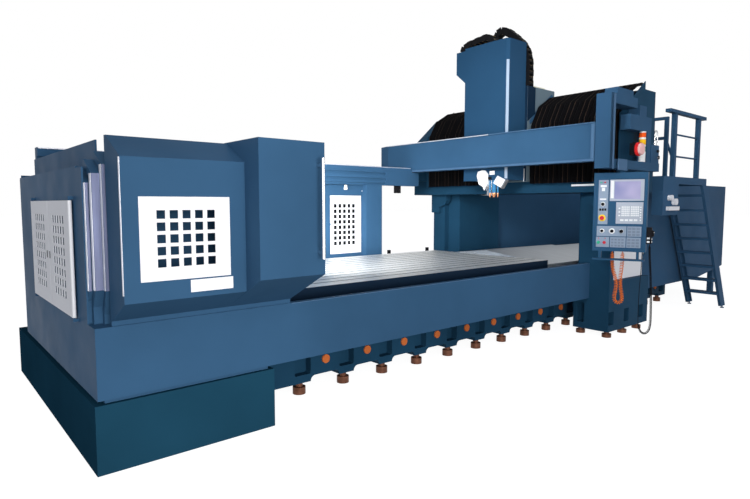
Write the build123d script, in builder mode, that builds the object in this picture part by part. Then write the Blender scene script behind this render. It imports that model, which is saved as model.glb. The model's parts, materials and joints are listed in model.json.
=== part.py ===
from build123d import *
import math
import os

# A double-column gantry machining center with a long moving table.
# Millimetres. X runs along the table, Y across the machine (the operator's side is -Y), Z is up.
# The origin is on the floor, under the spindle line, on the middle row of levelling feet.

# Clearances
running_gap = 0.3        # a sliding piece over its guide
free_gap = 8.0           # pieces that pass each other
sheet = 12.0             # folded sheet-metal guards, with their stiffening folds

# Table and its travel
table_length = 4300.0
table_travel = 4100.0
table_right_end = 100.0
table_half_width = 1100.0
table_top = 1110.0
table_thickness = 230.0
slot_pitch = 180.0
slot_margin = 200.0
slot_count = 2 * int((table_half_width - slot_margin) / slot_pitch) + 1
slot_width = 24.0
slot_depth = 46.0
slot_foot_width = 42.0
slot_foot_height = 18.0
table_left = table_right_end - table_length

# Telescopic way covers: sections nest closely on the left and are drawn out on the right
cover_count = 4
left_cover_length = 1480.0
left_nesting = 52.0
right_cover_length = 1850.0
right_margin = 308.0
cover_step = 26.0
cover_ridge = table_top + 70
cover_eave = table_top - 60
cover_foot = table_top - 210

# The two ends of the machine
end_left = table_left - left_cover_length - (cover_count - 1) * left_nesting - sheet
rear_right = table_right_end + table_travel + right_cover_length + right_margin + sheet
end_bay_length = 1393.0
tray_left = end_left + end_bay_length

# Bed and feet
bed_left = tray_left + 55
bed_right = table_right_end + table_travel + 400
bed_half_width = 880.0
bed_top = 800.0
foot_height = 120.0
foot_radius = 65.0
foot_pitch = 550.0
foot_row_y = 810.0
rail_centre_y = 600.0
rail_width = 170.0
pocket_width = 190.0
pocket_height = 170.0
pocket_depth = 90.0
pocket_z = 285.0
plug_radius = 45.0
plug_z = 320.0

# Trays and tank
tray_half_width = table_half_width + 300
tray_bottom = 540.0
tray_top = table_top - 60
tray_lip = 60.0
ledge_inner = table_half_width + 65
tank_height = 500.0
tank_left = end_left - 14
tank_near = 22 - tray_half_width
tank_far = tray_half_width + 483

# Columns
column_front = 712.0
column_depth = 1226.0
column_inner = table_half_width + 60
column_outer = column_inner + 540
column_foot_z = 85.0
column_base_top = 800.0
column_top = 2060.0
column_flange = 103.0
column_recess = 100.0
column_foot_pitch = 460.0
near_flange_inner = column_inner + 75
far_flange_inner = column_inner + 264
corbel_top_width = 363.0
corbel_neck_width = 190.0
corbel_height = 320.0

# Rear enclosure
rear_half_width = column_inner + 130
rear_left = 2700.0
rear_bottom = 455.0
rear_top = 2255.0
rear_corner = 1350.0
rear_corner_rise = 150.0

# Near guard, a folded shell that slides on the tray's ledge
shell_sheet = 24.0
guard_top = 2365.0
guard_strip = sheet - tray_half_width
guard_plane = guard_strip - 312
box_plane = guard_plane - 215
guard_left = end_left + 114
box_left = guard_left + 870
box_right = box_left + 568
guard_foot_z = tray_top + 35
guard_cap_drop = 160.0
window_left = guard_left + 106
window_right = window_left + 637
window_low = 1381.0
window_high = 1948.0
handle_x = box_right - 67
guard_travel = 1300.0

# Nested guard sections: depth of strip and plane, left end, foot heights, top heights
shell_right = box_right - 104
shell_flange = 50.0
shells = [
    (205.0, 158.0, 12.0, 1213.0, 1290.0, 2046.0, 2155.0),
    (160.0, 89.0, 37.0, 1173.0, 1298.0, 2109.0, 2214.0),
    (115.0, 53.0, 95.0, 1120.0, 1294.0, 2170.0, 2273.0),
]

# End doors
end_door_near_margin = 475.0
end_door_far_margin = 835.0
end_door_half_width = tray_half_width - (end_door_near_margin + end_door_far_margin) / 2
end_door_centre = (end_door_near_margin - end_door_far_margin) / 2
end_door_low = 1060.0
end_door_high = 1925.0
door_thickness = 24.0
hinge_pin_radius = 8.0
hinge_barrel_radius = 13.0
hinge_offset = 13.0
end_door_x = end_left - 24

# Square ventilation holes in the white doors and the window
vent_columns = 5
vent_rows = 8
vent_hole = 58.0
vent_pitch = 88.0
vent_row_pitch = 82.0
window_rows = 5

# Far guard
far_guard_right = -931.0
far_post_left = far_guard_right - 323
far_rail_low = 2195.0
far_rail_high = 2490.0
far_rail_depth = 122.0
far_door_left = -1905.0
far_door_right = -1260.0
far_door_low = 1104.0
far_door_high = 2058.0
far_panel_left = -4290.0
far_groove_depth = 26.0
far_groove_levels = (2396.0, 2305.0, 2232.0)
far_groove_height = 40.0
far_hinge_x = far_door_right + hinge_offset
far_hinge_y = tray_half_width + 24

# Cross rail
cross_front = 500.0
cross_depth = 900.0
cross_near = -1930.0
cross_far = 2000.0
cross_top = 3470.0
cross_knee_z = 2980.0
cross_slope_run = 580.0
way_height = 40.0
way_width = 90.0
way_low_z = 2350.0
way_high_z = 2860.0
bellows_far_end = 1560.0

# Head
head_y = -105.0
saddle_half_width = 440.0
saddle_front = 335.0
saddle_low = 2230.0
saddle_top = 3640.0
ram_front = -95.0
ram_half_width = 400.0
ram_low = 2250.0
ram_high = 4263.0
ram_chamfer = 40.0
wing_width = 175.0
wing_low = 3750.0
wing_high = 4230.0
ram_chain_front = ram_front + 25
ram_chain_width = 150.0
saddle_chain_width = 118.0
chain_thickness = 90.0
spindle_x = 76.0
spindle_radius = 64.0
head_radius = 120.0

# Front beam cover and near tower
beam_front = -241.0
beam_thickness = 121.0
beam_low = 2450.0
beam_high = 2905.0
beam_end = cross_far + 178
beam_flange = 24.0
tower_front = beam_front - 10
tower_depth = 688.0
tower_back = tower_front + tower_depth
tower_thickness = 190.0
tower_near = cross_near - 8 - tower_thickness
tower_low = 2337.0
tower_high = 3240.0
tower_flange = 114.0
tower_throat_low = 2449.0
tower_throat_high = 3118.0
tower_arm_reach = 700.0
tower_arm_right = tower_back + tower_arm_reach

# Servo motor and signal tower
servo_x = 265.0
servo_z = 2620.0
servo_radius = 94.0
signal_x = 700.0
signal_y = tower_near + 43
signal_radius = 43.0
signal_height = 400.0

# Pendant
pendant_x = 152.0
pendant_y = tower_near + 38
pendant_angle = 70.0
pendant_width = 620.0
pendant_depth = 190.0
pendant_low = 1300.0
pendant_high = 2290.0
pendant_lip = 12.0
swivel_height = 20.0

# Handwheel unit on the pendant's side, its curly cable and the curly air hose.
# A route's points are along the pendant's width, toward the operator, and up.
handwheel_low = 1395.0
handwheel_high = 1613.0
handwheel_depth = 60.0
wheel_z = 1530.0
wheel_radius = 42.0
hose_radius = 26.0
hose_route = [
    (-77, 0, 1300), (-77, 0, 1200), (-68, 18, 1080), (-25, 34, 955), (-14, 30, 850), (-34, 14, 745),
    (-42, 4, 680), (-24, 0, 642), (8, 0, 632), (40, 0, 644), (56, -4, 684), (46, -14, 750),
    (26, -30, 850), (22, -34, 955), (36, -18, 1080), (43, 0, 1200), (43, 0, 1300),
]
curl_radius = 16.0
cable_radius = 5.0
curl_route = [
    (350, 20, 1395), (350, 20, 1290), (374, 20, 1020), (388, 20, 700), (393, 20, 480), (392, 20, 400),
    (380, 20, 318), (345, 20, 272), (300, 20, 272), (264, 20, 318), (252, 20, 400),
]
cable_route = [
    (252, 20, 400), (250, 18, 500), (249, 12, 680), (255, 6, 900), (266, 0, 1120), (266, 0, 1300),
]

# Platform, guard rail and ladder
platform_left = 1792.0
platform_right = 3462.0
platform_near = -1925.0
platform_far = -980.0
platform_top = 2312.0
platform_skirt = 110.0
inner_rail_rise = 1040.0
handrail_rise = 700.0
handrail_foot = 300.0
handrail_run = 360.0
panel_right = platform_left + 550
panel_low = 1730.0
rail_top = platform_top + 1000
rail_post = 80.0
rail_posts = (platform_left + 400, platform_right - 350)
rail_bar_radius = 14.0
inner_rail_x = platform_right - 80
ladder_width = 601.0
ladder_run = 1205.0
stringer_depth = 205.0
stringer_thickness = 45.0
tread_count = 8
tread_pitch = 252.0
pad_height = 45.0

os.makedirs("parts", exist_ok=True)


def save(builder, name):
    """Label a finished piece and write it as its own file."""
    builder.part.label = name
    export_step(builder.part, f"parts/{name}.step")


def along_x(points, x_low, x_high):
    """A prism with its outline in YZ, from x_low to x_high."""
    with BuildSketch(Plane.YZ.offset(x_low)) as outline:
        Polygon(*points, align=None)
    extrude(outline.sketch, amount=x_high - x_low)


def along_y(points, y_low, y_high):
    """A prism with its outline in XZ, from y_low to y_high."""
    with BuildSketch(Plane.XZ.offset(-y_high)) as outline:
        Polygon(*points, align=None)
    extrude(outline.sketch, amount=y_high - y_low)


def along_z(points, z_low, z_high):
    """A prism with its outline in XY, from z_low to z_high."""
    with BuildSketch(Plane.XY.offset(z_low)) as outline:
        Polygon(*points, align=None)
    extrude(outline.sketch, amount=z_high - z_low)


def rectangle(low_a, high_a, low_b, high_b):
    """The four corners of an upright rectangle."""
    return [(low_a, low_b), (high_a, low_b), (high_a, high_b), (low_a, high_b)]


def moved_sideways(points, distance):
    """An open profile moved sideways by the same distance all along."""
    moved = []
    for index, point in enumerate(points):
        normals = []
        for a, b in ((index - 1, index), (index, index + 1)):
            if 0 <= a and b < len(points):
                dy, dz = points[b][0] - points[a][0], points[b][1] - points[a][1]
                size = math.hypot(dy, dz)
                normals.append((-dz / size, dy / size))
        ny = sum(n[0] for n in normals)
        nz = sum(n[1] for n in normals)
        scale = 2.0 / (ny * ny + nz * nz) if len(normals) == 2 else 1.0
        moved.append((point[0] + ny * scale * distance, point[1] + nz * scale * distance))
    return moved


def inset(points, distance):
    """An open profile and the same profile moved sideways, closed into one outline."""
    return points + moved_sideways(points, distance)[::-1]


def vent_holes(plane, centre, rows, depth, column_pitch=vent_pitch):
    """Square holes in rows and columns, cut through a panel from its face."""
    with BuildSketch(plane) as holes:
        with Locations(centre):
            with GridLocations(column_pitch, vent_row_pitch, vent_columns, rows):
                Rectangle(vent_hole, vent_hole)
    extrude(holes.sketch, amount=depth, mode=Mode.SUBTRACT)


def bar(start, end, radius):
    """A round bar between two points."""
    direction = Vector(*end) - Vector(*start)
    with BuildSketch(Plane(origin=start, z_dir=direction)) as ring:
        Circle(radius)
    extrude(ring.sketch, amount=direction.length)


first_foot = math.ceil((bed_left + 190) / foot_pitch)
last_foot = math.floor((bed_right - 190) / foot_pitch)
foot_places = [foot_pitch * index for index in range(first_foot, last_foot + 1)]
column_back = column_front + column_depth
column_feet_x = [column_front + 80 + column_foot_pitch * index for index in range(3)]
cross_back = cross_front + cross_depth
table_under = table_top - table_thickness


# Bed casting: scalloped along the floor, pocketed over each foot
with BuildPart() as bed:
    bed_profile = [
        (-bed_half_width, foot_height),
        (bed_half_width, foot_height),
        (bed_half_width, tray_bottom + 60),
        (bed_half_width - 120, bed_top),
        (-bed_half_width + 120, bed_top),
        (-bed_half_width, tray_bottom + 60),
    ]
    along_x(bed_profile, bed_left, bed_right)
    for side in (-1, 1):
        along_x(
            rectangle(side * rail_centre_y - rail_width / 2, side * rail_centre_y + rail_width / 2,
                      bed_top, table_under - running_gap),
            bed_left, bed_right,
        )
    with BuildSketch(Plane.XZ.offset(-bed_half_width)):
        with Locations(*[(x + foot_pitch / 2, foot_height) for x in foot_places[:-1]]):
            SlotOverall(foot_pitch - 190, 110)
    extrude(amount=2 * bed_half_width, mode=Mode.SUBTRACT)
    for side in (-1, 1):
        with BuildSketch(Plane.XZ.offset(-side * bed_half_width)):
            with Locations(*[(x, pocket_z) for x in foot_places]):
                RectangleRounded(pocket_width, pocket_height, 20)
        extrude(amount=side * pocket_depth, mode=Mode.SUBTRACT)
save(bed, "bed")

# Levelling feet: a round pad under a jack screw, below the bed and the columns
column_rows = [side * y for side in (-1, 1) for y in (column_outer - 60, column_inner + 80)]
bed_spots = [(x, y, foot_height) for x in foot_places for y in (-foot_row_y, 0, foot_row_y)]
column_spots = [(x, y, column_foot_z) for x in column_feet_x for y in column_rows]
with BuildPart() as levelling_feet:
    for x, y, height in bed_spots + column_spots:
        with BuildSketch(Plane.XY):
            with Locations((x, y)):
                Circle(foot_radius)
        extrude(amount=height * 0.6)
        with BuildSketch(Plane.XY.offset(height * 0.6)):
            with Locations((x, y)):
                Circle(foot_radius * 0.55)
        extrude(amount=height * 0.4)
save(levelling_feet, "levelling_feet")

# Round plugs between the pockets
with BuildPart() as bed_plugs:
    for side in (-1, 1):
        with BuildSketch(Plane.XZ.offset(-side * bed_half_width)):
            with Locations(*[(x + foot_pitch / 2, plug_z) for x in foot_places[:-1]]):
                Circle(plug_radius)
        extrude(amount=-side * 16)
save(bed_plugs, "bed_plugs")

# Coolant tank under the left end
with BuildPart() as coolant_tank:
    along_z(rectangle(tank_left, tray_left, tank_near, tank_far), 0, tank_height)
save(coolant_tank, "coolant_tank")

# Trays along both sides of the bed, left and right of the columns
with BuildPart() as side_trays:
    for side in (-1, 1):
        outer = side * tray_half_width
        outline = [
            (outer, tray_top),
            (outer, tray_bottom),
            (side * bed_half_width, tray_bottom),
            (side * bed_half_width, tray_bottom + sheet),
            (outer - side * sheet, tray_bottom + sheet),
            (outer - side * sheet, tray_top - sheet),
            (outer - side * tray_lip, tray_top - sheet),
            (outer - side * tray_lip, tray_top),
        ]
        along_x(outline, tray_left, column_front)
    along_x(rectangle(-tray_half_width, -ledge_inner, tray_top - sheet, tray_top), tray_left, shell_right)
save(side_trays, "side_trays")

# Tray under the end enclosure, on a plinth over the coolant tank
with BuildPart() as end_tray:
    along_x(rectangle(-tray_half_width, tray_half_width, tray_bottom, tray_top), end_left, tray_left)
    with BuildSketch(Plane.XY.offset(tray_bottom + sheet)):
        Polygon(*rectangle(end_left + sheet, tray_left, -tray_half_width + sheet,
                           tray_half_width - sheet), align=None)
    extrude(amount=tray_top, mode=Mode.SUBTRACT)
    along_x(rectangle(-tray_half_width, -ledge_inner, tray_top - sheet, tray_top), end_left, tray_left)
    along_x(rectangle(tray_half_width - tray_lip, tray_half_width, tray_top - sheet, tray_top),
            end_left, tray_left)
    along_x(rectangle(-tray_half_width + 60, tray_half_width - 60, tank_height, tray_bottom),
            end_left + 60, tray_left - 40)
save(end_tray, "end_tray")

# Table with T-slots along its length
slot_places = [slot_pitch * (index - (slot_count - 1) / 2) for index in range(slot_count)]
with BuildPart() as table:
    along_x(rectangle(-table_half_width, table_half_width, table_under, table_top),
            table_left, table_right_end)
    with BuildSketch(Plane.YZ.offset(table_left)):
        with Locations(*[(y, table_top - slot_depth / 2) for y in slot_places]):
            Rectangle(slot_width, slot_depth)
        with Locations(*[(y, table_top - slot_depth + slot_foot_height / 2) for y in slot_places]):
            Rectangle(slot_foot_width, slot_foot_height)
    extrude(amount=table_length, mode=Mode.SUBTRACT)
save(table, "table")


def cover_outline(index):
    """The gabled outline of one telescopic cover section, each inside the one before."""
    half = table_half_width - cover_step * index
    drop = cover_step * index
    return [
        (half, cover_foot),
        (half, cover_eave - drop),
        (0, cover_ridge - drop),
        (-half, cover_eave - drop),
        (-half, cover_foot),
    ]


# Telescopic way covers on both ends of the table, each section on its own carrier plate
right_spacing = (rear_right - sheet - right_cover_length - table_right_end) / (cover_count - 1)
for index in range(cover_count):
    profile = inset(cover_outline(index), sheet)
    plate = cover_outline(index)
    plate = [(plate[0][0] - 1, table_under)] + plate[1:-1] + [(plate[-1][0] + 1, table_under)]
    right_start = table_right_end + right_spacing * index
    left_start = table_left - left_cover_length - left_nesting * index
    with BuildPart() as right_cover:
        along_x(profile, right_start, right_start + right_cover_length)
        along_x(plate, right_start, right_start + sheet)
    with BuildPart() as left_cover:
        along_x(profile, left_start, left_start + left_cover_length)
        along_x(plate, left_start + left_cover_length - sheet, left_start + left_cover_length)
    if index < cover_count - 1:
        save(right_cover, f"way_cover_right_{index + 1}")
        save(left_cover, f"way_cover_left_{index + 1}")
    else:
        with BuildPart() as way_cover_ends:
            add(right_cover.part)
            add(left_cover.part)
        save(way_cover_ends, "way_cover_ends")

# Columns with their outrigger bases, a slotted front flange and a corbel under the rail
for name, side, flange_inner in (("column_near", -1, near_flange_inner), ("column_far", 1, far_flange_inner)):
    with BuildPart() as column:
        outer, inner = side * column_outer, side * column_inner
        recess = side * (column_outer - column_recess)
        flange = side * flange_inner
        along_z(rectangle(column_front, column_back, *sorted((outer, inner))), column_foot_z, column_base_top)
        along_z(rectangle(column_front, column_front + column_flange, *sorted((outer, flange))),
                column_base_top, column_top)
        along_z(rectangle(column_front + column_flange, column_back, *sorted((recess, inner))),
                column_base_top, column_top)
        with BuildSketch(Plane.YZ.offset(column_front - 60), mode=Mode.PRIVATE) as corbel:
            with BuildLine():
                Polyline((outer, column_top - corbel_height), (outer, column_top),
                         (side * (column_outer - corbel_top_width), column_top),
                         (side * (column_outer - corbel_top_width), column_top - 90))
                RadiusArc((side * (column_outer - corbel_top_width), column_top - 90),
                          (side * (column_outer - corbel_neck_width), column_top - 210), -side * 160)
                Polyline((side * (column_outer - corbel_neck_width), column_top - 210),
                         (side * (column_outer - corbel_neck_width), column_top - corbel_height),
                         (outer, column_top - corbel_height))
            make_face()
        extrude(corbel.sketch, amount=60 + column_flange / 2)
        with BuildSketch(Plane.XZ.offset(-outer)):
            with Locations(*[(x, column_foot_z + 190) for x in column_feet_x]):
                RectangleRounded(150, 190, 15)
        extrude(amount=side * pocket_depth, mode=Mode.SUBTRACT)
        with BuildSketch(Plane.YZ.offset(column_front)):
            with Locations((side * (column_inner + 110), column_foot_z + 235)):
                RectangleRounded(120, 290, 20)
        extrude(amount=pocket_depth, mode=Mode.SUBTRACT)
    save(column, name)

# Cross rail on top of the columns, stepped back above its knee
saddle_back = cross_front - way_height - running_gap
bellows_outline = [
    (saddle_front + 60, saddle_low - 30),
    (saddle_front + 60, cross_knee_z + 90),
    (cross_front + cross_slope_run, cross_top + 100),
    (cross_front + cross_slope_run, cross_top + 30),
    (saddle_back - 5, cross_knee_z + 20),
    (saddle_back - 5, saddle_low - 30),
]
end_flange = [
    (saddle_front + 50, saddle_low - 40),
    (saddle_front + 50, cross_knee_z + 95),
    (cross_front + cross_slope_run, cross_top + 110),
    (cross_front + cross_slope_run, cross_top - 20),
    (cross_front + 20, cross_knee_z - 40),
    (cross_front + 20, saddle_low - 40),
]
with BuildPart() as cross_rail:
    along_y(
        [
            (cross_front, column_top),
            (cross_back, column_top),
            (cross_back, cross_top),
            (cross_front + cross_slope_run, cross_top),
            (cross_front, cross_knee_z),
        ],
        cross_near, cross_far,
    )
    for z in (way_low_z, way_high_z):
        along_y(rectangle(cross_front - way_height, cross_front, z - way_width / 2,
                          z + way_width / 2), cross_near, cross_far)
    for y in (cross_near, bellows_far_end):
        along_y(end_flange, y, y + sheet)
save(cross_rail, "cross_rail")

# Saddle that hangs on the rail's ways and carries the ram
head_near = head_y - saddle_half_width
head_far = head_y + saddle_half_width
with BuildPart() as saddle:
    along_y(
        [
            (saddle_front, saddle_low),
            (saddle_back, saddle_low),
            (saddle_back, cross_knee_z + 40),
            (cross_front + cross_slope_run - 40, cross_top + 70),
            (cross_front + cross_slope_run - 40, saddle_top),
            (saddle_front, saddle_top),
        ],
        head_near, head_far,
    )
save(saddle, "saddle")

# Bellows over the ways on both sides of the saddle
with BuildPart() as bellows_near:
    along_y(bellows_outline, cross_near + sheet, head_near - running_gap)
save(bellows_near, "bellows_near")
with BuildPart() as bellows_far:
    along_y(bellows_outline, head_far + running_gap, bellows_far_end)
save(bellows_far, "bellows_far")

# Ram with its folded front cover and a cable wing on the far side
ram_near = head_y - ram_half_width
ram_far = head_y + ram_half_width
with BuildPart() as ram:
    along_z(
        [
            (ram_front + ram_chamfer, ram_near),
            (saddle_front - running_gap, ram_near),
            (saddle_front - running_gap, ram_far),
            (ram_front, ram_far),
            (ram_front, ram_near + ram_chamfer),
        ],
        ram_low, ram_high,
    )
    along_x(
        [
            (ram_far, wing_low),
            (ram_far + wing_width, wing_low + 150),
            (ram_far + wing_width, wing_high),
            (ram_far, wing_high),
        ],
        ram_front, saddle_front - free_gap,
    )
save(ram, "ram")

# Cable chain that arches from the wing to the middle of the ram's top
with BuildPart() as ram_chain:
    chain_end = ram_near + 300
    with BuildSketch(Plane.YZ.offset(ram_chain_front)) as chain:
        with BuildLine():
            Line((ram_far, wing_high), (ram_far + 135, wing_high))
            Line((ram_far + 135, wing_high), (ram_far + 135, wing_high + 25))
            ThreePointArc((ram_far + 135, wing_high + 25), (ram_far + 45, ram_high + 82), (160, ram_high + 115))
            Line((160, ram_high + 115), (0, ram_high + 135))
            ThreePointArc((0, ram_high + 135), (chain_end + 50, ram_high + 108), (chain_end, ram_high))
            Line((chain_end, ram_high), (chain_end + 55, ram_high))
            ThreePointArc((chain_end + 55, ram_high), (-40, ram_high + 75), (70, ram_high))
            Polyline((70, ram_high), (ram_far, ram_high), (ram_far, wing_high))
        make_face()
    extrude(chain.sketch, amount=ram_chain_width)
save(ram_chain, "ram_chain")

# Cable chain that stands on the saddle behind the ram and arches over to the ram's top
with BuildPart() as saddle_chain:
    leg_outer = head_near
    leg_inner = leg_outer + chain_thickness
    with BuildSketch(Plane.YZ.offset(saddle_front + 10)) as chain:
        with BuildLine():
            Polyline((leg_inner, 3960), (leg_inner, saddle_top), (leg_outer, saddle_top), (leg_outer, 3960))
            Spline((leg_outer, 3960), (-518, 4140), (-436, 4300), (-296, 4430), (-170, 4532), (-50, 4588),
                   (64, 4556), (136, 4450), (155, 4290))
            Line((155, 4290), (155 - chain_thickness, 4290))
            Spline((155 - chain_thickness, 4290), (46, 4420), (0, 4484), (-60, 4498), (-124, 4458),
                   (-238, 4354), (-362, 4236), (-430, 4110), (leg_inner, 3960))
        make_face()
    extrude(chain.sketch, amount=saddle_chain_width)
save(saddle_chain, "saddle_chain")

# Spindle head and nose
with BuildPart() as spindle_head:
    with BuildSketch(Plane.XZ.offset(-head_y)) as outline:
        Polygon(
            (spindle_x, ram_low), (spindle_x + head_radius, ram_low),
            (spindle_x + head_radius, ram_low - 90), (spindle_x + head_radius - 25, ram_low - 120),
            (spindle_x, ram_low - 120), align=None,
        )
    revolve(outline.sketch, axis=Axis((spindle_x, head_y, 0), (0, 0, 1)))
save(spindle_head, "spindle_head")
with BuildPart() as spindle_nose:
    with BuildSketch(Plane.XZ.offset(-head_y)) as outline:
        top = ram_low - 120 - running_gap
        Polygon(
            (spindle_x, top), (spindle_x + spindle_radius + 14, top),
            (spindle_x + spindle_radius + 14, top - 30), (spindle_x + spindle_radius, top - 42),
            (spindle_x + spindle_radius, top - 95), (spindle_x + 35, top - 95),
            (spindle_x + 22, top - 30), (spindle_x, top - 30), align=None,
        )
    revolve(outline.sketch, axis=Axis((spindle_x, head_y, 0), (0, 0, 1)))
save(spindle_nose, "spindle_nose")

# Front beam cover with its far side arm
with BuildPart() as beam_cover:
    beam_near = tower_near + tower_thickness
    with BuildSketch(Plane.XY.offset(beam_low)) as outline:
        Polygon(
            (beam_front, beam_near), (beam_front, cross_far - 90), (beam_front + 77, beam_end),
            (cross_front + 300, beam_end), (cross_front + 300, cross_far),
            (beam_front + beam_thickness + 30, cross_far),
            (beam_front + beam_thickness, cross_far - 30), (beam_front + beam_thickness, beam_near),
            align=None,
        )
    extrude(outline.sketch, amount=beam_high - beam_low)
    along_x(rectangle(beam_near, cross_far - 90, beam_low - beam_flange, beam_low), beam_front - 20,
            beam_front + beam_thickness)
save(beam_cover, "beam_cover")

# Near tower: a C-shaped frame on the end of the rail
with BuildPart() as tower:
    along_y(
        [
            (tower_front, tower_low),
            (tower_arm_right, tower_low),
            (tower_arm_right, tower_throat_low),
            (tower_front + tower_flange, tower_throat_low),
            (tower_front + tower_flange, tower_throat_high),
            (tower_back, tower_throat_high),
            (tower_back, tower_high),
            (tower_front, tower_high),
        ],
        tower_near, tower_near + tower_thickness,
    )
    along_y(rectangle(cross_front, tower_arm_right, tower_low, tower_throat_low),
            tower_near + tower_thickness, cross_near)
    with BuildSketch(Plane.XY.offset(pendant_high + swivel_height)):
        with Locations((pendant_x, pendant_y)):
            Circle(70)
    extrude(amount=tower_low - pendant_high - swivel_height)
    along_y(rectangle(tower_front + 200, tower_back - 60, tower_high, tower_high + 90),
            tower_near + 30, tower_near + tower_thickness)
    along_y(rectangle(tower_back - 140, tower_back + 463, tower_throat_low + 400, tower_throat_low + 590),
            tower_near + 20, tower_near + 150)
    along_y(rectangle(tower_back + 150, tower_back + 350, tower_throat_low + 590, tower_high - 60),
            tower_near + 40, tower_near + tower_thickness)
    along_y(rectangle(tower_back + 350, tower_back + 463, tower_throat_low, tower_throat_low + 400),
            tower_near + 20, tower_near + 150)
    along_y(rectangle(tower_back + 463, tower_arm_right, tower_throat_low - 24, tower_throat_low + 241),
            tower_near + 10, tower_near + 150)
save(tower, "tower")

# Servo motor on the near end of the rail, with its fan cap
with BuildPart() as servo_motor:
    with BuildSketch(Plane.XZ.offset(-tower_near)):
        with Locations((servo_x, servo_z)):
            RectangleRounded(2 * servo_radius - 10, 2 * servo_radius - 10, 30)
    extrude(amount=140)
    with BuildSketch(Plane.XZ.offset(-tower_near + 140)):
        with Locations((servo_x, servo_z)):
            Circle(servo_radius)
    extrude(amount=62)
    along_y(rectangle(servo_x - 60, servo_x + 60, tower_throat_low, servo_z), tower_near, tower_near + 150)
save(servo_motor, "servo_motor")

# Signal tower on the lower arm
with BuildPart() as signal_tower:
    with BuildSketch(Plane.XY.offset(tower_throat_low)):
        with Locations((signal_x, signal_y)):
            Circle(signal_radius)
    extrude(amount=signal_height)
save(signal_tower, "signal_tower")

# Pendant, hung on a swivel under the lower arm
angle = math.radians(pendant_angle)
pendant_plane = Plane(
    origin=(pendant_x, pendant_y, 0),
    x_dir=(math.cos(angle), -math.sin(angle), 0),
    z_dir=(0, 0, 1),
)
with BuildPart() as pendant:
    with BuildSketch(pendant_plane.offset(pendant_low)):
        Rectangle(pendant_width, pendant_depth)
    extrude(amount=pendant_high - pendant_low)
    with BuildSketch(pendant_plane.offset(pendant_low + 26)):
        with Locations((-8, -pendant_depth / 2)):
            Rectangle(pendant_width - 56, 2 * pendant_lip)
    extrude(amount=pendant_high - pendant_low - 100, mode=Mode.SUBTRACT)
    with BuildSketch(Plane.XY.offset(pendant_high)):
        with Locations((pendant_x, pendant_y)):
            Circle(40)
    extrude(amount=swivel_height - running_gap)
    with BuildSketch(pendant_plane.offset(pendant_low - 110)):
        with Locations((0, -95)):
            Rectangle(pendant_width - 20, 130)
    extrude(amount=18)
    for place in (-220, 220):
        with BuildSketch(pendant_plane.offset(pendant_low - 92)):
            with Locations((place, -50)):
                Rectangle(30, 60)
        extrude(amount=92)
save(pendant, "pendant")


def on_pendant(point):
    """A point given along the pendant's width, toward the operator and up, in the machine's frame."""
    across, forward, z = point
    return (
        pendant_x + across * math.cos(angle) - forward * math.sin(angle),
        pendant_y - across * math.sin(angle) - forward * math.cos(angle),
        z,
    )


def tube(points, radius):
    """A tube along straight runs, with arcs between them as large as both runs allow."""
    corners = [Vector(*on_pendant(point)) for point in points]
    radii = []
    with BuildLine() as route:
        last = corners[0]
        for before, corner, after in zip(corners, corners[1:], corners[2:]):
            arriving = (corner - before).normalized()
            leaving = (after - corner).normalized()
            turn = math.acos(max(-1.0, min(1.0, arriving.dot(leaving))))
            reach = 0.45 * min((corner - before).length, (after - corner).length)
            radii.append(round(reach / math.tan(turn / 2)))
            arc_start = corner - arriving * reach
            arc_end = corner + leaving * reach
            inward = (leaving - arriving).normalized()
            middle = corner + inward * (reach / math.sin((math.pi - turn) / 2) * (1 - math.cos(turn / 2))
                                        / math.sin(turn / 2) * math.cos(turn / 2))
            Line(last, arc_start)
            ThreePointArc(arc_start, middle, arc_end)
            last = arc_end
        Line(last, corners[-1])
    with BuildSketch(Plane(origin=corners[0], z_dir=corners[1] - corners[0])) as ring:
        Circle(radius)
    sweep(ring.sketch, path=route.wire())
    return radii


# Handwheel unit hung on the pendant's near side
with BuildPart() as handwheel:
    with BuildSketch(pendant_plane.offset(handwheel_low)):
        with Locations((pendant_width / 2 + handwheel_depth / 2, 0)):
            Rectangle(handwheel_depth, 100)
    extrude(amount=handwheel_high - handwheel_low)
    with BuildSketch(Plane(origin=on_pendant((pendant_width / 2 + handwheel_depth, 0, wheel_z)),
                           z_dir=(math.cos(angle), -math.sin(angle), 0))):
        Circle(wheel_radius)
    extrude(amount=28)
save(handwheel, "handwheel")

# Curly cable of the handwheel: its curled stretch as one fat tube, and the plain stretch
with BuildPart() as handwheel_cable:
    print("handwheel cable radii", tube(curl_route, curl_radius), tube(cable_route, cable_radius))
save(handwheel_cable, "handwheel_cable")

# Curly air hose that hangs under the pendant, as one fat tube
with BuildPart() as air_hose:
    print("air hose radii", tube(hose_route, hose_radius))
save(air_hose, "air_hose")

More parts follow.
